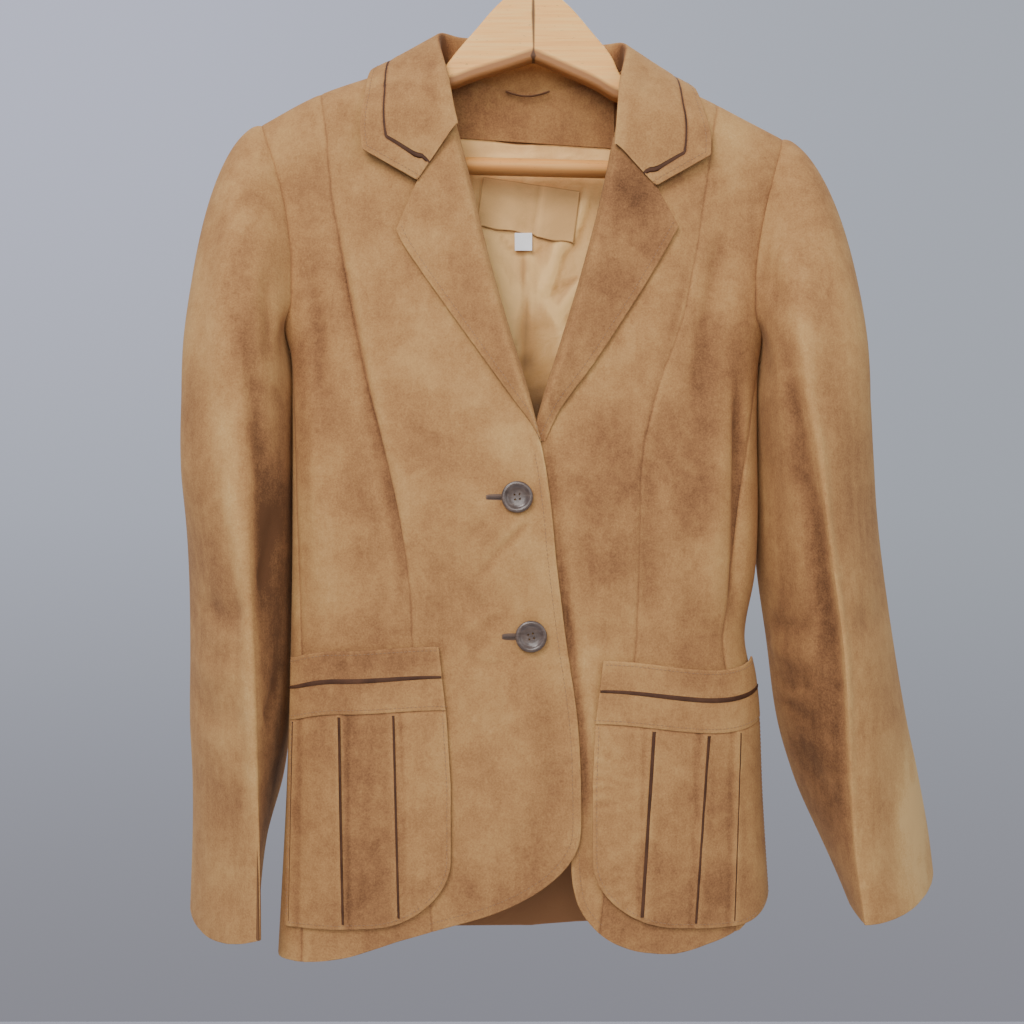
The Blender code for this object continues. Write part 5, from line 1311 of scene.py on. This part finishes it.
pocketGrids, bandGrids = {}, {}
for tag, side in sides.items():
    place = pocketPlace(side)
    finish = finishes["pocket" + tag]
    rows, columns = stops(0.15, pockets["step"]), stops(0.15, pockets["step"])
    flat = between(*bagCut(side), rows, columns, place)
    wall = pockets["wall"]
    base, lifted = skins(place, flat[..., 0], flat[..., 1], wall)
    x, z = base[..., 0], base[..., 2]
    panelRipple, panelShade = np.zeros(x.shape), np.zeros(x.shape)
    if side == right:
        waves = np.sin(z * 520 + np.sin(z * 90) * 3 + np.sin(x * 160 + z * 50) * 1.6 + x * 40)
        waves = waves * (0.45 + 0.55 * np.sin(z * 71 + 1)) * (0.7 + 0.3 * np.sin(x * 190))
        panelRipple = 0.00055 * waves * ease(x, 0.040, 0.048) * bell(x - 0.052, 0.018)
        # painted light and shade that follow the ripples
        panelShade = panelShade + 0.06 * waves * bell(x - 0.052, 0.016)
    for top, low, wide, paler in pocketTrims[side]:
        # one panel laps a little over the next at each strip; beyond it the panel has its own tone, with a painted
        # shadow line on the near side of the strip and a painted highlight beyond it
        away = side * x - mix(top, low, np.clip((pockets["seamZ"] - z) / pockets["seamLong"], 0, 1))
        panelRipple = panelRipple + 0.0007 * bell(away - 0.0040, 0.0030) - 0.0004 * bell(away + 0.0025, 0.0020)
        panelShade = (panelShade + paler * ease(away, -0.0006, 0.0006) - 0.12 * bell(away + 0.0030, 0.0016)
                      + 0.06 * bell(away - 0.0035, 0.0016))
    piece, outer, normal = clothPiece("suedePocket" + tag, base, lifted, wall, finish, ("top",),
                                      ("start", "end", "bottom"), pocketTones[side], panelRipple,
                                      shade=panelShade)
    pocketGrids[side] = (outer, normal)
    dress(piece, "pocket" + tag, pockets["flat"][side], "hung", ["suedeSide" + tag])
    rows = stops(pockets["band"], 0.0026)
    flat = between(*bandCut(side), rows, columns, place)
    base, lifted = skins(place, flat[..., 0], flat[..., 1], wall + 0.0004)
    piece, outer, normal = clothPiece("suedePocketBand" + tag, base, lifted, wall, finish, (),
                                      ("start", "end", "top", "bottom"), pocketTones[side])
    bandGrids[side] = (outer, normal)
    dress(piece, "pocket_band" + tag, pockets["bandFlat"][side], "hung", ["suedeSide" + tag])

    above = wall + pockets["rest"]
    u = np.linspace(0.003, 0.997, 70)
    z = pocketTop(side, u) - pockets["bandTrim"]
    turn = pocketTurn(side, u, z)
    path, higher = skins(place, turn, z, above + 0.0003)
    width = pockets["trimWidth"] * (0.45 + 0.55 * np.sin(u * math.pi) ** 0.6)
    piece = ribbonPiece("pocketStripe%s_0" % tag, path, higher - path, width, -0.0006,
                        pockets["trimThick"], finishes["trim"], 0.0)
    dress(piece, "pocket_trim%s_0" % tag, on="suedePocketBand" + tag)
    for index, (top, bottom, width, paler) in enumerate(pocketTrims[side]):
        x = side * mix(top, bottom, np.linspace(0, 1, 50))
        first = pocketTurn(side, 0.0, pockets["middle"])
        u = (np.abs(turnOf(x, pockets["middle"])) - first) / (pocketOuter(side, pockets["middle"]) - first)
        low = pocketFoot(side, u)[1]
        z = mix(pocketTop(side, u) - pockets["band"] - 0.002, low + 0.004, np.linspace(0, 1, 50))
        turn = np.abs(turnOf(x, z))
        path, higher = skins(place, turn, z, above)
        width = width * mix(1.0, 0.7, ease(np.linspace(0, 1, 50), 0.0, 1.0))
        piece = ribbonPiece("pocketStripe%s_%d" % (tag, index + 1), path, higher - path, width, -0.0006,
                            pockets["trimThick"], finishes["trim"], 0.0)
        dress(piece, "pocket_trim%s_%d" % (tag, index + 1), on="suedePocket" + tag)
print("pockets made")


# rows of stitches, laid by Geometry Nodes along lines set in from the edges
stitch = {"step": 0.0031, "length": 0.0023, "thick": 0.00050, "front": 0.0062, "lapel": 0.0050, "collar": 0.0040,
          "pocket": 0.0030, "frontTop": {left: -0.452, right: -0.466}}


def stitchTree():
    tree = bpy.data.node_groups.new("stitchRow", "GeometryNodeTree")
    tree.is_modifier = True
    for name, kind in (("Row", "Geometry"), ("Step", "Float"), ("Length", "Float"), ("Thickness", "Float"),
                       ("Thread", "Material")):
        tree.interface.new_socket(name, in_out="INPUT", socket_type="NodeSocket" + kind)
    tree.interface.new_socket("Stitches", in_out="OUTPUT", socket_type="NodeSocketGeometry")

    def node(kind, settings=None, sockets=None):
        made = tree.nodes.new(kind)
        for key, value in (settings or {}).items():
            setattr(made, key, value)
        for key, value in (sockets or {}).items():
            if isinstance(value, bpy.types.NodeSocket):
                tree.links.new(value, made.inputs[key])
            else:
                made.inputs[key].default_value = value
        return made

    given = node("NodeGroupInput").outputs
    curve = node("GeometryNodeMeshToCurve", {}, {"Mesh": given["Row"]})
    spaced = node("GeometryNodeResampleCurve", {"mode": "LENGTH"},
                  {"Curve": curve.outputs[0], "Length": given["Step"]})
    along = node("GeometryNodeInputTangent")
    turned = node("FunctionNodeAlignRotationToVector", {"axis": "Z"}, {"Vector": along.outputs[0]})
    bead = node("GeometryNodeMeshUVSphere", {}, {"Segments": 6, "Rings": 4, "Radius": 0.5})
    size = node("ShaderNodeCombineXYZ", {}, {0: given["Thickness"], 1: given["Thickness"], 2: given["Length"]})
    placed = node("GeometryNodeInstanceOnPoints", {}, {"Points": spaced.outputs[0], "Instance": bead.outputs[0],
                                                       "Rotation": turned.outputs[0], "Scale": size.outputs[0]})
    real = node("GeometryNodeRealizeInstances", {}, {0: placed.outputs[0]})
    threaded = node("GeometryNodeSetMaterial", {}, {"Geometry": real.outputs[0], "Material": given["Thread"]})
    node("NodeGroupOutput", {}, {0: threaded.outputs[0]})
    return tree


stitchRow = stitchTree()


def insetRow(outer, normal, which, inset, highest=9.0):
    # a row a set way in from the named edges, taken in turn, lying on the surface
    turns = {"top": lambda grid, i: grid[i], "end": lambda grid, i: grid[:, -1 - i],
             "bottom": lambda grid, i: grid[-1 - i][::-1], "start": lambda grid, i: grid[::-1, i]}
    line = np.concatenate([turns[w](outer, 0) for w in which])
    inward = np.concatenate([turns[w](outer, 6) - turns[w](outer, 0) for w in which])
    ups = np.concatenate([turns[w](normal, 5) for w in which])
    aside = unit(np.cross(ups, unit(np.gradient(line, axis=0))))
    aside = aside * np.sign((aside * inward).sum(-1, keepdims=True))
    row = line + aside * inset
    row = row[(distanceTo(row, line) > 0.96 * inset) & (row[:, 2] < highest)]
    flat, flatUps = outer.reshape(-1, 3), normal.reshape(-1, 3)
    nearest = np.array([((flat - point) ** 2).sum(1).argmin() for point in row])
    up = flatUps[nearest]
    return row + up * (((flat[nearest] - row) * up).sum(1, keepdims=True) + 0.0001)


def stitchPiece(name, rows, host):
    points, edges = [], []
    for row in rows:
        edges += [(len(points) + i, len(points) + i + 1) for i in range(len(row) - 1)]
        points += row.tolist()
    mesh = bpy.data.meshes.new(name)
    mesh.from_pydata(points, edges, [])
    guide = linked(name + "Guide", mesh)
    layer = guide.modifiers.new("stitches", "NODES")
    layer.node_group = stitchRow
    values = {"Step": stitch["step"], "Length": stitch["length"], "Thickness": stitch["thick"],
              "Thread": finishes["thread"]}
    for item in stitchRow.interface.items_tree:
        if item.in_out == "INPUT" and item.name in values:
            layer[item.identifier] = values[item.name]
    graph = bpy.context.evaluated_depsgraph_get()
    made = bpy.data.meshes.new_from_object(guide.evaluated_get(graph))
    bpy.data.objects.remove(guide)
    made.shade_smooth()
    dress(linked(name, made), None, on=host)
    return len(made.polygons)


count = 0
for tag, side in sides.items():
    count += stitchPiece("frontStitches" + tag, [insetRow(*fronts[side], ("end", "bottom"), stitch["front"],
                                                          stitch["frontTop"][side])], "suedeFront" + tag)
    count += stitchPiece("lapelStitches" + tag, [insetRow(*lapelGrids[side], ("top", "end"), stitch["lapel"])],
                         "suedeLapel" + tag)
    around = ("start", "bottom", "end")
    count += stitchPiece("pocketStitches" + tag, [insetRow(*pocketGrids[side], around, stitch["pocket"])],
                         "suedePocket" + tag)
    count += stitchPiece("bandStitches" + tag, [insetRow(*bandGrids[side], (edge,), stitch["pocket"])
                                                for edge in ("top", "bottom")], "suedePocketBand" + tag)
count += stitchPiece("collarStitches", [insetRow(borderOuter, borderNormal, ("end",), stitch["collar"])],
                     "suedeCollar")
print("stitches laid, %d faces" % count)


# inside the neck: facing, lining, label, size tag and hanging loop
inside = {"lining": -0.0030, "facing": -0.0046, "facingLow": -0.1985, "facingWide": 0.068,
          "liningHem": 0.925, "label": ((-0.0430, 0.0385), (-0.2320, -0.2720), 0.145),
          "sizeTag": ((-0.0142, 0.0002), (-0.2715, -0.2860), 0.0),
          "loop": (-0.0216, 0.0146), "loopZ": -0.1590, "loopSag": 0.0040, "loopWidth": 0.0015}


def behind(x, z, out):
    return bodyPoint(backTurn(x, z), z, out)


x = np.linspace(-inside["facingWide"], inside["facingWide"], 60)[None, :]
v = stops(0.045, 0.0024)[:, None]
z = mix(neckSeam(x) - 0.0004, inside["facingLow"] - 0.065 * x, v)
x = np.broadcast_to(x, z.shape)
base, lifted = skins(behind, x, z, inside["facing"], -1)
piece, outer, normal = clothPiece("suedeNeckFacing", base, lifted, cloth["facing"] * 0.6, finishes["facing"],
                                  (), ("bottom",))
dress(piece, "neck_facing", (0.143, 0.066, 0.0065), "hung", ["suedeBack_l", "suedeBack_r"])

# painted shadows of the lining's folds, under the label and tag and along the centre seam, and painted light on the
# lit folds
liningShades = {
    "tag": ([(-30, -266), (-21.3, -279.2), (-14.1, -284.9), (-5, -288)], 1.8, -0.26),
    "right": ([(22, -313.5), (30, -311), (42.3, -306.7)], 2.4, -0.26),
    "underLabel": ([(25, -274), (32.6, -270.3), (42, -267.9)], 1.8, -0.2),
    "ripple": ([(-3, -290), (3, -286), (11, -282)], 2.2, -0.16),
    "spot": ([(-4.5, -290), (-3.5, -298), (-1, -303)], 3.4, -0.16),
    "low": ([(0, -335), (1, -360), (1, -390)], 5, -0.13),
    "lit": ([(13, -290), (11, -315), (10, -335)], 8, 0.16),
    "litLeft": ([(-22, -300), (-18, -325), (-13, -345)], 6, 0.12),
    "seam": ([(-6.3, -275), (-7.1, -302.7), (-4.5, -325.3), (-4.7, -349.6), (-5.5, -390)], 1.1, -0.24)}
# painted shadow deep in the V between the lapels and on a fold above it, and a wide band a little darker at the height
# of the label's top
liningTones = [(4, -406, 30, 30, -0.55), (0, -460, 60, 60, -0.5), (-6, -376, 9, 8, -0.3),
    (0, -233, 60, 10, -0.08)]
liningFolds = {
    "fallLeft": ([(-30, -290), (-22, -330), (-26, -380)], 4, 1.6, 0.3),
    "fallRight": ([(30, -250), (18, -300), (6, -330)], 4.5, 2, -0.3),
    "underLabel": ([(46, -230), (34, -270), (20, -290)], 3.5, 1.6),
    "lowRight": ([(10, -320), (24, -350), (30, -390)], 4, 1.4, 0.2),
    "lowLeft": ([(-10, -300), (-14, -350), (-6, -400)], 3.5, 1.4),
    "underFacing": ([(-50, -205), (-20, -209), (20, -206), (50, -214)], 3, 1.2),
    "cross": ([(50, -300), (34, -320), (18, -345)], 3.5, 1.4)}
ends = []
for tag, side in sides.items():
    start, end, top, bottom = backCut(side)
    columns, rows = mix(0.0, 0.93, stops(0.20, 0.0038, False, True)), stops(0.60, 0.0036)
    flat = between(start, end, top, bottom, mix(0.062, inside["liningHem"], rows), columns, sidePlace(side))
    ends.append(np.stack([side * flat[..., 0], flat[..., 1]], -1))
flat = np.concatenate([ends[0][:, ::-1], ends[1][:, 1:]], 1)
base, lifted = skins(bodyPoint, flat[..., 0], flat[..., 1], inside["lining"], -1)
wrinkle = foldHeight(base[..., 0], base[..., 2], liningFolds) * ease(-base[..., 2], 0.204, 0.212)
pleat = bell(base[..., 0] + 0.0055, 0.0016) * -0.0004 + bell(base[..., 0] + 0.0020, 0.0025) * 0.0008
piece, outer, normal = clothPiece("liningBack", base, lifted, cloth["satin"] * 0.4, finishes["lining"],
                                  (), ("top", "bottom"), liningTones, wrinkle + pleat,
                                  shade=shadeAt(base[..., 0], base[..., 2], liningShades))
dress(piece, "lining_back", (0.505, 0.656, 0.2600), "hung", ["suedeNeckFacing"])

(xs, zs, turned) = inside["label"]
u, v = np.meshgrid(stops(0.080, 0.0020), stops(0.041, 0.0020))
x, z = mix(xs[0], xs[1], u) - 0.0005, mix(zs[0], zs[1], v) + 0.2515
x, z = x * math.cos(turned) + z * math.sin(turned), z * math.cos(turned) - x * math.sin(turned) - 0.2515
z = z - 0.0022 * ease(u, 0.585, 0.615) * v + 0.0005 * np.sin(u * 22) * v
level = inside["lining"] - 0.0024 - 0.0007 * ease(u, 0.58, 0.62) - 0.0005 * bell(u - 0.30, 0.12)
allEdges = ("start", "end", "top", "bottom")
piece, outer, normal = clothPiece("satinLabel", *skins(behind, x, z, level, -1), 0.0006, finishes["label"], (),
                                  allEdges)
dress(piece, "label", (0.082, 0.041), "hung", ["liningBack"])
(xs, zs, turned) = inside["sizeTag"]
u, v = np.meshgrid(stops(0.0144, 0.0016), stops(0.0145, 0.0016))
x, z = mix(xs[0], xs[1], u), mix(zs[0], zs[1], v)
level = inside["lining"] - 0.0037 - 0.0006 * (v * v)
piece, outer, normal = clothPiece("sizeTag", *skins(behind, x, z, level, -1), 0.0004, finishes["tape"], (),
                                  allEdges)
dress(piece, "size_tag", (0.0145, 0.0145), "hung", ["satinLabel"])
u = np.linspace(0, 1, 40)
x = mix(*inside["loop"], u)
z = inside["loopZ"] - inside["loopSag"] * np.sin(u * math.pi)
path = behind(x, z, inside["facing"] - cloth["facing"] - 0.0010 - 0.0012 * np.sin(u * math.pi))
piece = ribbonPiece("hangingLoop", path, vector(0 * x, 0 * x - 1, 0 * x), inside["loopWidth"], 0.0, 0.0012,
                    finishes["loop"])
dress(piece, "hang_loop", on="suedeNeckFacing")
print("neck made")


# the wooden hanger
wood = {"thick": 0.013, "round": 0.0034, "railRadius": 0.0070, "railZ": -0.2235, "railTilt": -0.026,
        "heelAt": 0.1580, "heelEnd": 0.1900, "heel": {left: -0.2360, right: -0.2440}}
arm = Profile(
    "x leftTop rightTop leftLow rightLow", (1, -79, -79, -139.5, -139.5), (25, -92.5, -93.5, -147.5, -150),
    (49, -119, -120.5, -155, -161), (62, -134, -137, -160, -169), (67, -140.5, -148, -161, -171),
    (73, -147, -156, -163.5, -174), (90, -150.3, -158.5, -170, -181), (120, -159.7, -171.5, -182, -193),
    (158, -171.6, -189.5, -197, -207))


def woodRing(x, top, low, count=9):
    half, cut = wood["thick"] / 2, wood["round"]
    a = np.linspace(0, math.pi / 2, count)
    upper = np.stack([half - cut + cut * np.sin(a), top - cut + cut * np.cos(a)], -1)
    lower = np.stack([half - cut + cut * np.cos(a), low + cut - cut * np.sin(a)], -1)
    face = np.array([[half, top - (top - low) * 0.4], [half, low + 0.0095], [half, low + 0.0062]])
    one = np.concatenate([upper, face, lower])
    both = np.concatenate([one, one[::-1] * np.array([-1, 1])])
    return np.stack([np.full(len(both), x), both[:, 0], both[:, 1]], -1)


for tag, side in sides.items():
    key = sideName(side)
    rings = []
    for share in np.linspace(0, 1, 70):
        x = mix(0.0000, wood["heelAt"], share)
        rings.append(woodRing(side * x + 0.0010, float(arm.at(x, key + "Top")), float(arm.at(x, key + "Low"))))
    top, foot = float(arm.at(wood["heelAt"], key + "Top")), wood["heel"][side]
    for share, drop, rise in ((0.02, 0.0003, 0.0), (0.25, 0.0030, 0.0), (0.5, 0.0075, 0.0),
                              (0.75, 0.0130, 0.001), (0.92, 0.0190, 0.004), (1.0, 0.0250, 0.010)):
        rings.append(woodRing(side * mix(wood["heelAt"], wood["heelEnd"], share), top - drop, foot + rise))
    points = np.array(rings)
    low = points[..., 2].min(1, keepdims=True)
    marks = 0.0003 * np.sin(points[..., 2] * 900) + 0.0003 * np.sin(points[..., 2] * 370 + side)
    for height, size in ((-0.0975, 0.0009), (-0.1030, 0.0006), (-0.1265, 0.0008), (-0.1370, 0.0014)):
        marks = marks - size * bell(points[..., 2] - height, 0.0016)
    # under marks the lowest band of the arm, painted darker as shade
    fields = {"under": ease(low + 0.0080 - points[..., 2], 0.0, 0.0018),
              "joint": np.abs(points[..., 0] - 0.0010) + marks}
    piece = loftPiece("woodArm" + tag, rings, finishes["wood" + tag], 0.6, fields)
    dress(piece, "hanger_arm" + tag)
rings = []
a = np.linspace(0, 2 * math.pi, 33)[:-1]
for x in np.linspace(-1, 1, 61) * (wood["heelAt"] - 0.0004):
    z = wood["railZ"] + wood["railTilt"] * x
    rings.append(np.stack([a * 0 + x, wood["railRadius"] * np.sin(a), z + wood["railRadius"] * np.cos(a)], -1))
points = np.array(rings)
spot = np.hypot(points[..., 0] - 0.0640, points[..., 2] - wood["railZ"] - wood["railTilt"] * 0.064 - 0.001)
# under marks the lower half of the rail, painted darker as shade
fields = {"under": ease(-np.cos(a)[None, :] + 0 * points[..., 0], -0.3, 0.9) * 0.8, "joint": spot + 0.0002}
dress(loftPiece("woodRail", rings, finishes["woodRail"], 1.2, fields), "hanger_rail")


# the steel hook
wire = {"radius": 0.00175, "bend": 0.0218}
centre = -wire["bend"] + wire["radius"]
spots = [(0.001, float(arm.at(0.001, "leftTop")) - 0.004), (0.001, -0.070), (0.001, -0.062),
         (0.0016, -0.0555), (0.0030, -0.0500), (0.0072, -0.0447)]
spots += [(wire["bend"] * math.cos(b), centre + wire["bend"] * math.sin(b))
          for b in np.linspace(-0.30 * math.pi, 1.12 * math.pi, 12)]
spots = smoothPath(spots, 120)
step = unit(np.gradient(spots, axis=0))
a = np.linspace(0, 2 * math.pi, 17)[:-1]
rings = []
for (x, z), (dx, dz) in zip(spots, step):
    out = wire["radius"] * np.cos(a)
    rings.append(np.stack([x + dz * out, wire["radius"] * np.sin(a), z - dx * out], -1))
tail = rings[-1].mean(0)
for share in (0.8, 0.4):
    rings.append(tail + (rings[-1] - tail) * share + np.array([step[-1, 0], 0, step[-1, 1]]) * 0.0006)
dress(loftPiece("steelHook", rings, finishes["steel"], 1.0), "hook")
print("hanger made")


# four-hole buttons
buttons = {"radius": 0.0118, "hole": 0.00075, "holeAt": 0.0018, "places": {"upper": (-0.0121, -0.4857),
           "lower": (-0.0018, -0.5894)}, "turned": {"upper": 0.12, "lower": 0.25}}
# (radius, height) round the section, in millimetres
discShape = ((0, 0), (4, 0), (5, 0.8), (6, 1.1), (10.4, 1.3), (11.4, 1.7), (11.75, 2.2), (11.8, 2.7),
    (11.7, 3.1), (11.4, 3.5), (11, 3.75), (10.4, 3.9), (9.7, 3.9), (9.1, 3.75), (8.6, 3.4), (8.1, 2.9),
    (7.5, 2.5), (6.6, 2.2), (5, 2), (3, 1.9), (0, 1.9))
holeShape = {"upper": (-0.0352, -0.0215), "lower": (-0.0234, -0.0112), "height": 0.0052, "slit": 0.0021}


def lathe(shell, x, y, z, shape, count=56):
    rings = []
    for radius, height in np.array(shape) / 1000:
        turns = [0.0] if radius == 0 else [2 * math.pi * i / count for i in range(count)]
        rings.append([shell.verts.new((x + radius * math.cos(a), y - height, z + radius * math.sin(a)))
                      for a in turns])
    for low, high in zip(rings, rings[1:]):
        for i in range(count):
            j = (i + 1) % count
            corners = [low[i % len(low)], low[j % len(low)], high[j % len(high)], high[i % len(high)]]
            shell.faces.new(list(dict.fromkeys(corners)))


def buttonPiece(key):
    x, z = buttons["places"][key]
    back = float(frontPoint(x, z)[1]) - 0.0009
    shell = bmesh.new()
    lathe(shell, x, back, z, discShape)
    bmesh.ops.recalc_face_normals(shell, faces=shell.faces)
    mesh = bpy.data.meshes.new("disc" + key)
    shell.to_mesh(mesh)
    shell.free()
    disc = linked("disc" + key, mesh)
    drills = []
    for quarter in range(4):
        a = buttons["turned"][key] + math.pi / 4 + quarter * math.pi / 2
        reach = buttons["holeAt"] * math.sqrt(2)
        bpy.ops.mesh.primitive_cylinder_add(vertices=16, radius=buttons["hole"], depth=0.02,
                                            location=(x + reach * math.cos(a), back, z + reach * math.sin(a)),
                                            rotation=(math.pi / 2, 0, 0))
        drills.append(bpy.context.object)
        cut = disc.modifiers.new("hole", "BOOLEAN")
        cut.operation, cut.solver, cut.object = "DIFFERENCE", "MANIFOLD", drills[-1]
    graph = bpy.context.evaluated_depsgraph_get()
    made = bpy.data.meshes.new_from_object(disc.evaluated_get(graph))
    for spare in drills + [disc]:
        bpy.data.objects.remove(spare)
    made.shade_smooth()
    made.set_sharp_from_angle(angle=0.7)
    made.materials.clear()
    made.materials.append(finishes["horn"])
    dress(linked("hornButton_" + key, made), "button_" + key)


for key in buttons["places"]:
    buttonPiece(key)
    start, end = holeShape[key]
    z = buttons["places"][key][1] - 0.0005
    x = np.linspace(start, end, 24)
    path, higher = skins(frontPoint, x, z)
    width = holeShape["height"] * (1 - 0.35 * np.linspace(1, 0, 24) ** 6)
    piece = ribbonPiece("boundHole_" + key, path, higher - path, width, -0.0004, 0.0003, finishes["welt"], 0.6)
    dress(piece, "buttonhole_" + key, on="suedeFront_l")
    # a dark strip along the slit, painted shade inside the opening
    path, higher = path[2:], higher[2:]
    piece = ribbonPiece("holeSlit_" + key, path, higher - path, holeShape["slit"], 0.0000, 0.00105,
                        finishes["brownThread"], 0.2)
    dress(piece, None, on="suedeFront_l")
print("buttons made")


for name, (piece, flat, held, rests) in sheets.items():
    flat[2] if flat[2:] else None


# floor, light and camera
studio = {"floor": -1.75, "size": 4.4, "low": (0.265, 0.265, 0.305), "middle": (0.430, 0.460, 0.530),
          "high": (0.530, 0.560, 0.665), "leftSide": (1.20, 1.18, 1.24), "rightSide": (0.86, 0.87, 0.84),
          "worldLight": 1.0}
mesh = bpy.data.meshes.new("floor")
half = studio["size"] / 2
mesh.from_pydata([(-half, -half, studio["floor"]), (half, -half, studio["floor"]),
                  (half, half, studio["floor"]), (-half, half, studio["floor"])], [], [(0, 1, 2, 3)])
floor = linked("floor", mesh)
g = Graph("paleFloor")
mesh.materials.append(g.finish(g.blend(g.noise(3.0, 3.0, 0.5), (0.50, 0.50, 0.53), (0.56, 0.56, 0.58)), 0.8))

world = bpy.data.worlds.new("studio")
bpy.context.scene.world = world
g = Graph("studio", world)
apart = g.add("ShaderNodeSeparateXYZ", {}, {0: g.place})
across, upward = apart, Wire(g, apart.socket.node.outputs[2])
height = g.range(upward, -0.40, 0.40)
colour = g.ramp(height, (0.0, studio["low"]), (0.5, studio["middle"]), (1.0, studio["high"]))
tint = g.blend(g.range(across, -0.40, 0.40), studio["leftSide"], studio["rightSide"])
colour = g.blend(height, colour, tint, "MULTIPLY")
g.put(g.shader.inputs["Color"], colour)
g.shader.inputs["Strength"].default_value = studio["worldLight"]


def softLight(name, place, aim, size, power, colour):
    lamp = bpy.data.lights.new(name, "AREA")
    lamp.shape, lamp.size, lamp.energy, lamp.color = "SQUARE", size, power, colour
    lit = linked(name, lamp)
    lit.location = place
    lit.rotation_euler = (Vector(aim) - Vector(place)).to_track_quat("-Z", "Y").to_euler()


softLight("key", (-0.9, -1.9, 1.3), (0.0, 0.0, -0.45), 1.2, 48, (1.0, 0.965, 0.93))
softLight("front", (-0.2, -2.4, 0.1), (0.0, 0.0, -0.40), 1.0, 19, (1.0, 0.97, 0.94))
softLight("fill", (1.7, -1.6, 0.2), (0.0, 0.0, -0.50), 1.8, 14, (0.95, 0.97, 1.0))
softLight("back", (0.4, 1.7, 1.0), (0.0, 0.0, -0.45), 1.5, 26, (1.0, 0.98, 0.96))

lens = bpy.data.cameras.new("camera")
lens.lens, lens.sensor_width = 46.48, 36
camera = linked("camera", lens)
camera.location = (-0.016, -1.05, -0.497)
camera.rotation_euler = (math.pi / 2, 0, 0)
bpy.context.scene.camera = camera
